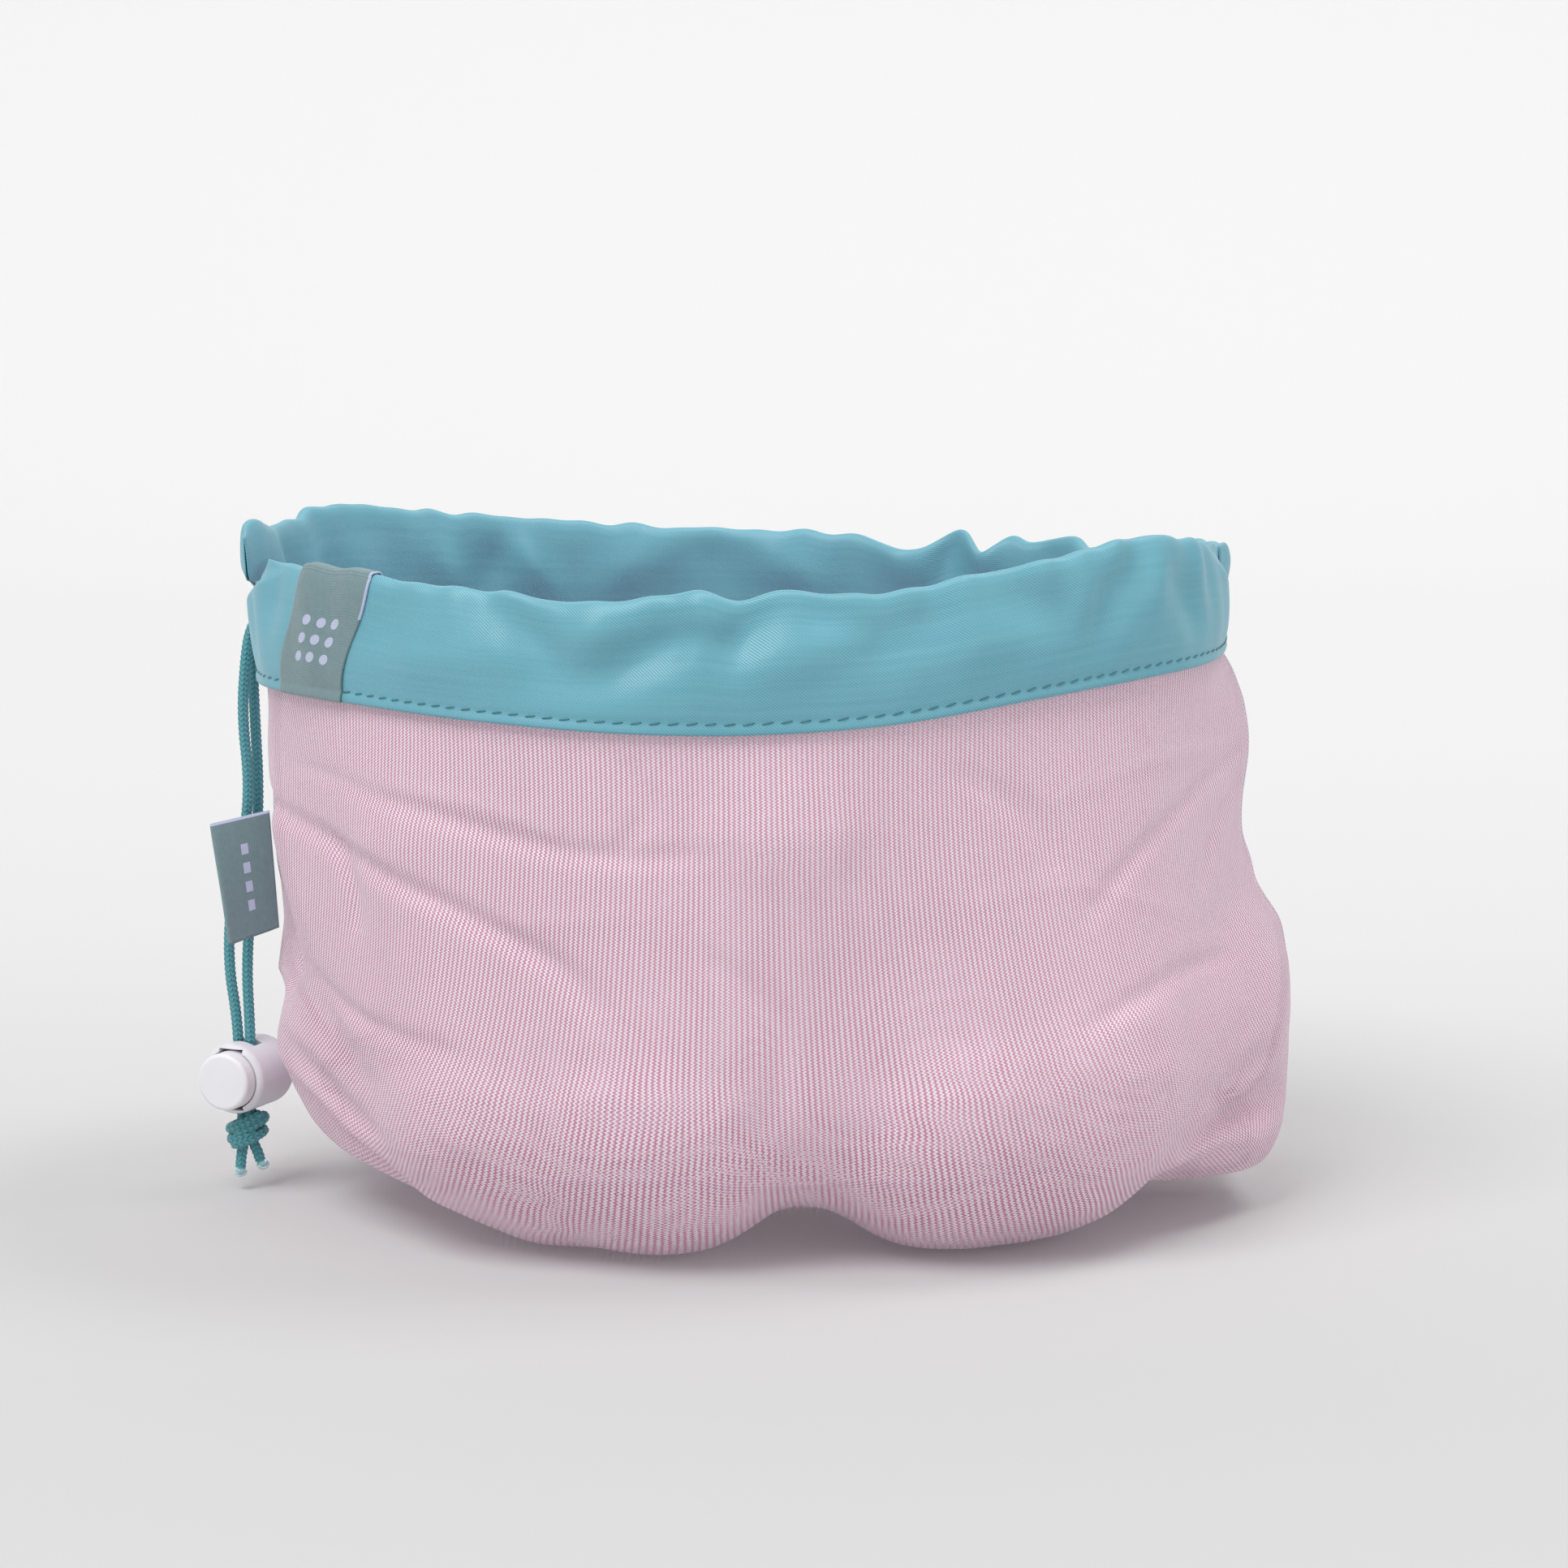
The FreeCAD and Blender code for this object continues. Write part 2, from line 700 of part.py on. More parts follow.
PIECES = [
    "mesh_front_panel",
    "mesh_back_panel",
    "left_side_seam",
    "right_side_seam",
    "bottom_seam",
    "channel_band_front",
    "channel_band_back",
    "channel_stitching",
    "rim_label",
    "side_tag",
    "drawstring_loop",
    "drawstring_tail_front",
    "drawstring_tail_back",
    "drawstring_knot",
    "drawstring_end_front",
    "drawstring_end_back",
    "cord_tips",
    "cord_lock_housing",
    "cord_lock_plunger",
    "cord_lock_spring",
]
doc.recompute()
for thing in doc.Objects:
    if {"Invalid", "Error"} & set(thing.State):
        raise RuntimeError(f"{thing.Label} didn't build: {thing.State}")
os.makedirs("parts", exist_ok=True)
for label in PIECES:
    piece = doc.getObjectsByLabel(label)[0]
    shape = piece.Shape
    if shape.isNull() or not shape.isValid():
        raise RuntimeError(f"{label} has no valid shape")
    bounds = shape.BoundBox
    ranges = [
        (round(low, 1), round(high, 1))
        for low, high in (
            (bounds.XMin, bounds.XMax),
            (bounds.YMin, bounds.YMax),
            (bounds.ZMin, bounds.ZMax),
        )
    ]
    print(label, "solids", len(shape.Solids), "volume", round(shape.Volume, 1), "x, y, z", ranges)
    shape.exportStep(f"parts/{label}.step")
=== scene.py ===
"""Looks of the mesh produce bag: simulated net panels, satin channel band, knitted drawstring,
woven labels and cord lock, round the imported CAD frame. Metres; +X right, -Y front, +Z up."""

import json
import math

import bpy
import numpy as np
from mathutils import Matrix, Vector

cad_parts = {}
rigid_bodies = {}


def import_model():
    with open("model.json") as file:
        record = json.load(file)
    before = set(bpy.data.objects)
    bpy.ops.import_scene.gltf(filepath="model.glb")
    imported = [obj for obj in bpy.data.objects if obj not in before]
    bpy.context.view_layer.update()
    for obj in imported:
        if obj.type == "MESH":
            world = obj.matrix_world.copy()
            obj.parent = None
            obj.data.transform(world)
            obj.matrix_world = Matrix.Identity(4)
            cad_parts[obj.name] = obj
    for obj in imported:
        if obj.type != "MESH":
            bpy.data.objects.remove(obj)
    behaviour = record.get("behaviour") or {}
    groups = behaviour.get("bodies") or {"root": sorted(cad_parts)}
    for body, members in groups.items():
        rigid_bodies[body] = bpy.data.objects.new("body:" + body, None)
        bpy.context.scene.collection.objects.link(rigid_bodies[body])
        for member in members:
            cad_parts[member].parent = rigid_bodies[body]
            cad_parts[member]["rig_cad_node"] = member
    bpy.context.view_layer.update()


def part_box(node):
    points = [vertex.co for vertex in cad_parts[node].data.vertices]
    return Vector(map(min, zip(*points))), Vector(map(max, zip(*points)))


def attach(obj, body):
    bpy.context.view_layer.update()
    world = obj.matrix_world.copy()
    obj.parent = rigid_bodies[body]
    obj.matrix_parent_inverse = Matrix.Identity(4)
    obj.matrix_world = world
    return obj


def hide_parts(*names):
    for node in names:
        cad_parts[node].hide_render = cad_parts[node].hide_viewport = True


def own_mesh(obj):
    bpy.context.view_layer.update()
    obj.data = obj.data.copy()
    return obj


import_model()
MM = 0.001
TURN = 2 * math.pi
rng = np.random.default_rng(7)

# ---------------- sizes from the frame


def corners(node):
    """A CAD node's lowest and highest corners at rest."""
    return [np.array(corner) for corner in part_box(node)]


band_low, band_high = corners("channel_band_front")
BAND_CX = (band_low[0] + band_high[0]) / 2
LAYERS_APART = 2.3 * MM  # from the band's middle line out to its face
MID_X, MID_Y = (band_high[0] - band_low[0]) / 2 - LAYERS_APART, -band_low[1] - LAYERS_APART
CORD_D = 2.2 * MM
NET_DROP = 0.176  # the net from the channel's foot down to the bottom seam
NET_HIDDEN = 0.0045  # the net's edge inside the channel
LABEL_WIDE = 0.0192
PANEL_WIDE = 0.284  # half of the bag's girth

# ---------------- camera


def linked(name, data):
    """A new object in the scene."""
    made = bpy.data.objects.new(name, data)
    bpy.context.collection.objects.link(made)
    return made


def aim(thing, at, to):
    """Puts a camera or a light at a place, looking at another."""
    thing.location = at
    thing.rotation_euler = (Vector(to) - thing.location).to_track_quat("-Z", "Y").to_euler()


def camera():
    """A long lens straight at the bag's front, a little above it."""
    height, away = math.radians(8.5), 0.95
    target = Vector((0.006, 0, 0.0825))
    data = bpy.data.cameras.new("Camera")
    data.lens, data.sensor_width = 109.7, 36.0
    made = linked("Camera", data)
    aim(made, target + away * Vector((0, -math.cos(height), math.sin(height))), target)
    bpy.context.scene.camera = made


camera()

# ---------------- mesh helpers


def new_object(name, mesh, material):
    """A smooth-shaded piece of one material."""
    mesh.polygons.foreach_set("use_smooth", [True] * len(mesh.polygons))
    mesh.materials.append(material)
    return linked(name, mesh)


def grid_faces(rows, cols, wrap=False):
    """Quads of a grid of points; with wrap, the last column joins the first."""
    r, c = np.meshgrid(np.arange(rows - 1), np.arange(cols if wrap else cols - 1), indexing="ij")
    n = (c + 1) % cols
    return np.stack([r * cols + c, r * cols + n, (r + 1) * cols + n, (r + 1) * cols + c], -1).reshape(-1, 4)


def mesh_from(name, points, faces, uv=None, relief=None):
    """A mesh with a cloth UV map in millimetres and a point attribute for knitted relief, which the cord's
    colour also uses as painted shade.
    """
    mesh = bpy.data.meshes.new(name)
    mesh.from_pydata(points.tolist(), [], faces.tolist())
    if uv is not None:
        layer = mesh.uv_layers.new(name="cloth")
        layer.data.foreach_set("uv", uv[faces.reshape(-1)].reshape(-1))
    if relief is not None:
        mesh.attributes.new("relief", "FLOAT", "POINT").data.foreach_set("value", relief)
    mesh.update()
    return mesh


def piece_from_grid(name, points, material, uv=None, relief=None, wrap=False):
    """A piece through a (rows, cols, 3) grid of points: a sheet, or a tube when it wraps."""
    rows, cols = points.shape[:2]
    uv = None if uv is None else uv.reshape(-1, 2)
    relief = None if relief is None else relief.reshape(-1)
    mesh = mesh_from(name, points.reshape(-1, 3), grid_faces(rows, cols, wrap), uv, relief)
    return new_object(name, mesh, material)


def values_of(items, name, width):
    """One property of a mesh's vertices or corners, as rows of numbers."""
    values = np.empty(len(items) * width)
    items.foreach_get(name, values)
    return values.reshape(-1, width)


def evaluated_mesh(thing):
    """A new mesh of what an object's modifiers, or its curve, make of it."""
    graph = bpy.context.evaluated_depsgraph_get()
    return bpy.data.meshes.new_from_object(thing.evaluated_get(graph), depsgraph=graph)


def apply_modifiers(thing):
    made = evaluated_mesh(thing)
    thing.modifiers.clear()
    thing.data = made
    made.polygons.foreach_set("use_smooth", [True] * len(made.polygons))


def thicken(thing, thick):
    made = thing.modifiers.new("thick", "SOLIDIFY")
    made.thickness, made.offset = thick, 0.0
    apply_modifiers(thing)


def soften(thing, levels):
    made = thing.modifiers.new("soft", "SUBSURF")
    made.levels = made.render_levels = levels
    apply_modifiers(thing)


def smooth_step(x, low, high):
    x = np.clip((x - low) / (high - low), 0, 1)
    return x * x * (3 - 2 * x)


def through(points, x, period=None):
    """A smooth curve through (x, value) points, read at x. With a period it closes on itself."""
    xs, ys = (np.array(v, float) for v in zip(*points))
    if period:
        xs = np.concatenate([xs[-2:] - period, xs, xs[:2] + period])
        ys = np.concatenate([ys[-2:], ys, ys[:2]])
    else:
        xs = np.concatenate([xs[:1] - 1, xs, xs[-1:] + 1])
        ys = np.concatenate([ys[:1], ys, ys[-1:]])
    i = np.clip(np.searchsorted(xs, x, side="right") - 1, 1, len(xs) - 3)
    x0, x1, x2, x3 = (xs[i + k] for k in (-1, 0, 1, 2))
    y0, y1, y2, y3 = (ys[i + k] for k in (-1, 0, 1, 2))
    t = (x - x1) / (x2 - x1)
    m1 = (y2 - y0) / (x2 - x0) * (x2 - x1)
    m2 = (y3 - y1) / (x3 - x1) * (x2 - x1)
    start = (2 * t**3 - 3 * t**2 + 1) * y1 + (t**3 - 2 * t**2 + t) * m1
    return start + (3 * t**2 - 2 * t**3) * y2 + (t**3 - t**2) * m2


# ---------------- materials


class Nodes:
    """Short names for building a material's node tree."""

    def __init__(self, name):
        self.material = bpy.data.materials.new(name)
        self.material.use_nodes = True
        self.tree = self.material.node_tree
        self.shader = self.tree.nodes["Principled BSDF"]

    def node(self, kind, **settings):
        made = self.tree.nodes.new(kind)
        for key, value in settings.items():
            setattr(made, key, value)
        return made

    def put(self, socket, value):
        if isinstance(value, bpy.types.NodeSocket):
            self.tree.links.new(value, socket)
        else:
            socket.default_value = value

    def math(self, operation, *values):
        made = self.node("ShaderNodeMath", operation=operation)
        for socket, value in zip(made.inputs, values):
            self.put(socket, value)
        return made.outputs[0]

    def times(self, a, b):
        return self.math("MULTIPLY", a, b)

    def plus(self, a, b):
        return self.math("ADD", a, b)

    def minus(self, a, b):
        return self.math("SUBTRACT", a, b)

    def over(self, a, b):
        return self.math("GREATER_THAN", a, b)

    def under(self, a, b):
        return self.math("LESS_THAN", a, b)

    def wave(self, value, repeats=1.0):
        """A triangle wave from 0 to 0.5 and back, so many times a unit of value."""
        return self.math("PINGPONG", value if repeats == 1.0 else self.times(value, repeats), 0.5)

    def mix(self, factor, a, b):
        """A mix of two colours, or of two plain numbers."""
        plain = isinstance(a, float)
        made = self.node("ShaderNodeMix", data_type="FLOAT" if plain else "RGBA")
        for number, value in zip((0, 2, 3) if plain else (0, 6, 7), (factor, a, b)):
            self.put(made.inputs[number], value)
        return made.outputs[0 if plain else 2]

    def cloth_axes(self):
        """The cloth's own coordinates in millimetres: across and along."""
        uv = self.node("ShaderNodeUVMap", uv_map="cloth")
        split = self.node("ShaderNodeSeparateXYZ")
        self.tree.links.new(uv.outputs[0], split.inputs[0])
        return split.outputs[0], split.outputs[1]

    def noise(self, scale, detail=3.0, roughness=0.5, vector=None):
        made = self.node("ShaderNodeTexNoise")
        for name, value in (("Scale", scale), ("Detail", detail), ("Roughness", roughness)):
            made.inputs[name].default_value = value
        if vector is None:
            vector = self.node("ShaderNodeTexCoord").outputs["Object"]
        self.tree.links.new(vector, made.inputs["Vector"])
        return made.outputs["Fac"]

    def combine(self, x, y, z=0.0):
        made = self.node("ShaderNodeCombineXYZ")
        for socket, value in zip(made.inputs, (x, y, z)):
            self.put(socket, value)
        return made.outputs[0]

    def bump(self, height, strength, distance):
        made = self.node("ShaderNodeBump")
        made.inputs["Strength"].default_value = strength
        made.inputs["Distance"].default_value = distance
        self.tree.links.new(height, made.inputs["Height"])
        self.tree.links.new(made.outputs[0], self.shader.inputs["Normal"])

    def set(self, **values):
        for key, value in values.items():
            self.put(self.shader.inputs[key.replace("_", " ")], value)


def rgb(*colour):
    """A colour from its sRGB values out of 255."""
    shares = [c / 255 for c in colour]
    return (*(c / 12.92 if c <= 0.04045 else ((c + 0.055) / 1.055) ** 2.4 for c in shares), 1.0)


def net_material(name="net", dense=False):
    """Warp-knitted net: pale zigzag yarns side by side down the cloth; between them a half see-through
    mauve that is painted shade of the bag's inside.
    """
    m = Nodes(name)
    across, along = m.cloth_axes()
    pitch, period = 0.93, 0.88  # between yarns and between zigzags, in millimetres
    half_yarn = 0.36 if dense else 0.21  # as a share of the pitch
    # How much the painted shade between the yarns hides what lies behind it.
    gap_shade_cover = 0.60
    u = m.math("DIVIDE", across, pitch)
    v = m.math("DIVIDE", along, period)
    shifted = m.plus(u, m.times(m.wave(v), 1.04))
    off_yarn = m.math("ABSOLUTE", m.minus(m.math("FRACT", shifted), 0.5))
    yarn = m.under(off_yarn, half_yarn)
    cover = m.math("MAXIMUM", yarn, gap_shade_cover)
    per_yarn = m.node("ShaderNodeTexWhiteNoise", noise_dimensions="1D")
    m.tree.links.new(m.math("FLOOR", shifted), per_yarn.inputs["W"])
    shade = m.plus(m.times(per_yarn.outputs["Value"], 0.35), m.noise(60.0))
    # Between the yarns the colour is a mauve painted shade of the bag's inside, paler on the dense seam
    # net.
    if dense:
        ground_and_gap_shade, pale, deep = rgb(232, 208, 226), rgb(250, 238, 248), rgb(236, 216, 232)
    else:
        ground_and_gap_shade, pale, deep = rgb(206, 130, 161), rgb(252, 246, 254), rgb(240, 226, 242)
    colour = m.mix(yarn, ground_and_gap_shade, m.mix(m.times(shade, 0.5), pale, deep))
    from_middle = m.math("POWER", m.math("DIVIDE", off_yarn, half_yarn), 2.0)
    round_yarn = m.math("SQRT", m.math("MAXIMUM", m.minus(1.0, from_middle), 0.0))
    m.bump(round_yarn, 0.55, 0.00018)
    m.set(Base_Color=colour, Roughness=0.55, Alpha=cover, Sheen_Weight=0.35, Sheen_Roughness=0.4)
    m.set(Specular_IOR_Level=0.35)
    return m.material


def satin_material():
    """Teal polyester satin with a fine diagonal twill and a soft sheen."""
    m = Nodes("satin")
    across, along = m.cloth_axes()
    diagonal = m.plus(m.times(across, 1.55), m.times(along, 1.75))
    twill = m.times(m.math("SMOOTH_MIN", m.wave(diagonal), 0.32, 0.2), 2.4)
    picks = m.wave(along, 4.2)
    slub = m.noise(1.0, 3.0, 0.6, m.combine(m.times(across, 0.02), m.times(along, 0.9)))
    cloud = m.noise(22.0, 2.0)
    shade = m.plus(m.times(twill, 0.42), m.plus(m.times(slub, 0.3), m.times(cloud, 0.25)))
    colour = m.mix(shade, rgb(65, 138, 156), rgb(139, 204, 221))
    m.bump(m.plus(twill, m.times(picks, 0.35)), 0.5, 0.00009)
    rough = m.mix(slub, 0.30, 0.44)
    m.set(Base_Color=colour, Roughness=rough, Sheen_Weight=0.25, Sheen_Roughness=0.35, Anisotropic=0.35)
    m.set(Specular_IOR_Level=0.55, Sheen_Tint=rgb(200, 232, 240))
    return m.material


def tape_material(name, motif):
    """Grey-green woven tape with fine ribs and a plain woven-in motif."""
    m = Nodes(name)
    across, along = m.cloth_axes()
    rib = m.wave(along, 3.1)
    warp = m.wave(across, 4.6)
    fuzz = m.noise(900.0, 2.0)
    shade = m.plus(m.times(rib, 0.9), m.plus(m.times(warp, 0.5), m.times(fuzz, 0.3)))
    ground_and_gap_shade = m.mix(shade, rgb(88, 118, 124), rgb(140, 166, 170))
    pale = m.mix(shade, rgb(176, 186, 218), rgb(206, 212, 236))
    colour = m.mix(motif(m, across, along), ground_and_gap_shade, pale)
    m.bump(m.plus(rib, warp), 0.45, 0.00012)
    m.set(Base_Color=colour, Roughness=0.7, Sheen_Weight=0.3, Sheen_Roughness=0.5)
    return m.material


def dot_motif(m, across, along):
    """Three rows of plain dots in the middle of the tape's face, and a pale edge by its fold."""
    spacing, radius = 3.6, 1.05
    edge_from, fold_from = 9.1, 17.5
    # Whole spacings are added first, so that the remainder is never of a negative number.
    dx = m.minus(m.math("MODULO", m.plus(across, 100.5 * spacing), spacing), spacing / 2)
    dy = m.minus(m.math("MODULO", along, spacing), spacing / 2)
    far = m.math("SQRT", m.plus(m.math("POWER", dx, 2.0), m.math("POWER", dy, 2.0)))
    inside = m.under(m.math("ABSOLUTE", across), 1.5 * spacing)
    in_rows = m.times(m.over(along, 2 * spacing), m.under(along, 5 * spacing))
    dots = m.times(m.under(far, radius), m.times(inside, in_rows))
    edge = m.times(m.over(across, edge_from), m.over(along, fold_from))
    return m.math("MAXIMUM", dots, edge)


def stripe_motif(m, across, along):
    """A broken stripe down each face of the tag, and a pale upper edge."""
    fold, to_stripe, half_stripe = 12.3, 6.2, 0.75
    half_long, edge_from = 7.5, 11.35
    off_fold = m.math("ABSOLUTE", m.minus(along, fold))
    stripe = m.under(m.math("ABSOLUTE", m.minus(off_fold, to_stripe)), half_stripe)
    dashes = m.over(m.wave(across, 0.27), 0.22)
    inside = m.under(m.math("ABSOLUTE", across), half_long)
    broken = m.times(inside, m.times(stripe, dashes))
    return m.math("MAXIMUM", broken, m.over(across, edge_from))


def cord_material():
    """Dark teal knitted polyester, darker between its stitches as painted shade."""
    m = Nodes("cord")
    relief = m.node("ShaderNodeAttribute", attribute_name="relief").outputs["Fac"]
    fibre = m.noise(2600.0, 2.0, 0.6)
    # Painted shade: the colour darkens where the stitches' relief is low.
    shade = m.plus(m.times(relief, 0.85), m.times(fibre, 0.25))
    m.bump(fibre, 0.35, 0.00008)
    m.set(Base_Color=m.mix(shade, rgb(24, 96, 108), rgb(100, 182, 190)))
    m.set(Roughness=0.6, Sheen_Weight=0.25, Sheen_Roughness=0.5)
    return m.material


def thread_material():
    """Dark teal sewing thread."""
    m = Nodes("thread")
    twist = m.noise(3000.0, 1.0)
    m.set(Base_Color=m.mix(twist, rgb(38, 96, 106), rgb(74, 138, 148)), Roughness=0.5)
    m.bump(twist, 0.3, 0.00005)
    return m.material


def tip_material():
    """Melted cord: glassy teal beads."""
    m = Nodes("melted_cord")
    clouds = m.noise(900.0, 3.0)
    m.set(Base_Color=m.mix(clouds, rgb(120, 196, 204), rgb(206, 236, 238)), Roughness=0.18)
    m.set(Transmission_Weight=0.55, IOR=1.5)
    m.bump(clouds, 0.4, 0.0002)
    return m.material


def lock_material(name, colour_low, colour_high, roughness):
    """Moulded white acetal with a very fine spark-eroded grain."""
    m = Nodes(name)
    grain = m.noise(2400.0, 2.0, 0.7)
    cloud = m.noise(120.0, 2.0)
    m.set(Base_Color=m.mix(cloud, colour_low, colour_high))
    m.set(Roughness=m.mix(grain, roughness, roughness + 0.12))
    m.set(Subsurface_Weight=0.12, Subsurface_Radius=(1.0, 0.9, 0.9), Subsurface_Scale=0.0015)
    m.bump(grain, 0.12, 0.00005)
    return m.material


def steel_material():
    """Bright spring wire."""
    m = Nodes("spring_steel")
    low, high = (0.5, 0.5, 0.52, 1), (0.68, 0.68, 0.7, 1)
    m.set(Base_Color=m.mix(m.noise(1500.0), low, high), Metallic=1.0, Roughness=0.3)
    return m.material


NET = net_material()
NET_SEAM = net_material("net_seam", dense=True)
SATIN = satin_material()
RIM_TAPE = tape_material("rim_tape", dot_motif)
TAG_TAPE = tape_material("tag_tape", stripe_motif)
CORD = cord_material()
THREAD = thread_material()
MELTED = tip_material()
LOCK_BODY = lock_material("lock_body", rgb(222, 220, 228), rgb(236, 235, 240), 0.42)
LOCK_BUTTON = lock_material("lock_button", rgb(236, 236, 240), rgb(246, 246, 249), 0.38)
STEEL = steel_material()

# ---------------- cords

# The routes' points, as in the CAD model: out of the channel, down, through the lock, into the knot
FRONT_ROUTE = [
    (-93.6, -10.2, 118), (-94.5, -5.6, 117.9), (-96.9, -2.7, 117), (-99.5, -1.6, 113.8),
    (-100.6, -1.5, 107), (-101.4, -1.1, 96), (-100.1, -0.9, 82), (-101.9, -0.5, 69), (-104.6, -0.3, 57),
    (-105, -0.3, 45.5), (-103.5, 0, 35), (-103.2, 0.1, 24.5), (-102.7, 0.1, 12.5),
]
BACK_ROUTE = [
    (-93.6, 10.2, 118), (-94.5, 5.6, 117.8), (-96.7, 2.9, 116.6), (-98.8, 2, 113), (-99.5, 1.9, 106),
    (-99.2, 2.3, 94.5), (-98.7, 2.4, 81), (-99.4, 1.9, 67.5), (-100.9, 0.8, 55), (-101.4, -0.3, 44),
    (-100.9, -0.9, 34), (-100.8, -1, 24), (-101.2, -0.6, 12.5),
]


def route_line(name, route, resolution=24):
    """Points along the route's smooth line, a NURBS spline with the route's points as controls."""
    data = bpy.data.curves.new(name, "CURVE")
    data.dimensions, data.resolution_u = "3D", resolution
    spline = data.splines.new("NURBS")
    spline.points.add(len(route) - 1)
    for point, at in zip(spline.points, route):
        point.co = (*(MM * c for c in at), 1.0)
    spline.order_u = 3
    spline.use_endpoint_u = True
    holder = linked(name, data)
    mesh = evaluated_mesh(holder)
    points = values_of(mesh.vertices, "co", 3)
    bpy.data.objects.remove(holder)
    bpy.data.meshes.remove(mesh)
    return points


def way_along(line):
    """The way along a line from its start to each of its points."""
    return np.concatenate([[0], np.cumsum(np.linalg.norm(np.diff(line, axis=0), axis=1))])


def evenly(line, step):
    """The line again, with its points about step apart, and the way to each."""
    lengths = way_along(line)
    at = np.linspace(0, lengths[-1], max(2, int(lengths[-1] / step) + 1))
    return np.stack([np.interp(at, lengths, line[:, k]) for k in range(3)], -1), at


def frames_along(line):
    """Two directions across the line at each point, turning as little as they can."""
    along = np.gradient(line, axis=0)
    along /= np.linalg.norm(along, axis=1)[:, None]
    side = np.cross(along[0], (0.3, 1, 0.2))
    sides = []
    for direction in along:
        side = side - direction * side.dot(direction)
        side = side / np.linalg.norm(side)
        sides.append(side)
    sides = np.array(sides)
    return sides, np.cross(along, sides)


def rings_along(line, angle):
    """Directions straight out of a line at each of its points, one for each angle."""
    sides, ups = frames_along(line)
    return np.cos(angle)[None, :, None] * sides[:, None] + np.sin(angle)[None, :, None] * ups[:, None]


WALES, AROUND, STITCH = 6, 48, 1.02 * MM  # columns of stitches, points round the cord, a stitch's length


def knitted_cord(name, line, turn=0.0):
    """A round knitted cord along a line: columns of V-shaped stitches, as real relief."""
    line, at = evenly(line, 0.11 * MM)
    angle = TURN * np.arange(AROUND) / AROUND + turn
    wale = angle / TURN * WALES
    x = wale - np.floor(wale) - 0.5
    phase = at[:, None] / STITCH + np.abs(x)[None] * 1.25
    stitch = 0.5 + 0.5 * np.cos(TURN * phase)
    across = 1 - 0.75 * np.abs(2 * x[None]) ** 3 - 0.35 * np.exp(-((x[None] / 0.07) ** 2))
    relief = np.clip(stitch**0.8 * 0.75 + 0.25, 0, 1) * np.clip(across, 0, 1)
    taper = np.minimum(at, at[-1] - at) / (0.35 * MM)
    radius = CORD_D / 2 * (0.80 + 0.23 * relief) * np.sqrt(np.clip(taper, 0.02, 1))[:, None]
    points = line[:, None] + radius[..., None] * rings_along(line, angle)
    return piece_from_grid(name, points, CORD, relief=relief, wrap=True)


def melted_tip(name, centre, radius, squash, seed):
    """The lumpy bead at a cord's end."""
    local = np.random.default_rng(seed)
    rows, cols = 26, 36
    lat = np.linspace(0.02, math.pi - 0.02, rows)[:, None]
    lon = TURN * np.arange(cols)[None] / cols
    unit = np.stack([np.sin(lat) * np.cos(lon), np.sin(lat) * np.sin(lon), np.cos(lat) + 0 * lon], -1)
    swell = np.ones((rows, cols))
    for _ in range(7):
        direction = local.normal(size=3)
        direction /= np.linalg.norm(direction)
        swell += 0.12 * local.uniform(-1, 1) * np.exp(-((1 - unit @ direction) / 0.25))
    points = np.array(centre) * MM + radius * MM * unit * swell[..., None] * (1, 1, squash)
    return piece_from_grid(name, points, MELTED, wrap=True)


front_line = route_line("front_route", FRONT_ROUTE)
back_line = route_line("back_route", BACK_ROUTE)
cord_front = knitted_cord("drawstring_front", front_line, turn=0.3)
cord_back = knitted_cord("drawstring_back", back_line, turn=1.1)

# The knot: an overhand knot in both cords, whose wraps lie side by side round the two cords' core.
knot_low, knot_high = corners("drawstring_knot")
knot_centre = (knot_low + knot_high) / 2
KNOT_REACH = (knot_high - knot_low)[0] / 2 - 0.55 * CORD_D


def wrap_line(start_turn, turns, foot, radius, lean):
    """A leaning helix round the knot's core, whose two ends dive into the core."""
    t = np.linspace(0, 1, 160)
    angle = TURN * (start_turn + turns * t)
    tuck = np.minimum(t, 1 - t) / 0.10
    reach = radius * (0.45 + 0.55 * smooth_step(tuck, 0, 1))
    x, y = reach * np.cos(angle), reach * np.sin(angle)
    return knot_centre + np.stack([x, 0.86 * y, (foot + 1.7 * t) * MM + lean * x], -1)


knot_wraps = [
    knitted_cord("knot_wrap_upper", wrap_line(0.55, 1.45, 0.6, KNOT_REACH, 0.42)),
    knitted_cord("knot_wrap_lower", wrap_line(0.50, 1.40, -1.9, KNOT_REACH * 0.94, 0.36), turn=0.8),
]


def hanging_end(name, points, turn):
    return knitted_cord(name, evenly(np.array(points) * MM, 0.2 * MM)[0], turn=turn)


END_FRONT = [(-102.0, -0.4, 12.5), (-102.6, -0.5, 9.5), (-103.1, -0.6, 7.0), (-103.3, -0.6, 4.4)]
END_BACK = [(-101.2, 0.2, 12.5), (-100.7, 0.3, 9.5), (-99.9, 0.4, 7.6), (-99.3, 0.5, 5.6)]
end_front = hanging_end("cord_end_front", END_FRONT, 0.2)
end_back = hanging_end("cord_end_back", END_BACK, 0.9)
tip_front = melted_tip("melted_tip_front", (-103.3, -0.7, 3.9), 1.35, 0.85, seed=3)
tip_back = melted_tip("melted_tip_back", (-98.9, 0.5, 5.1), 1.45, 0.8, seed=5)

# ---------------- channel band

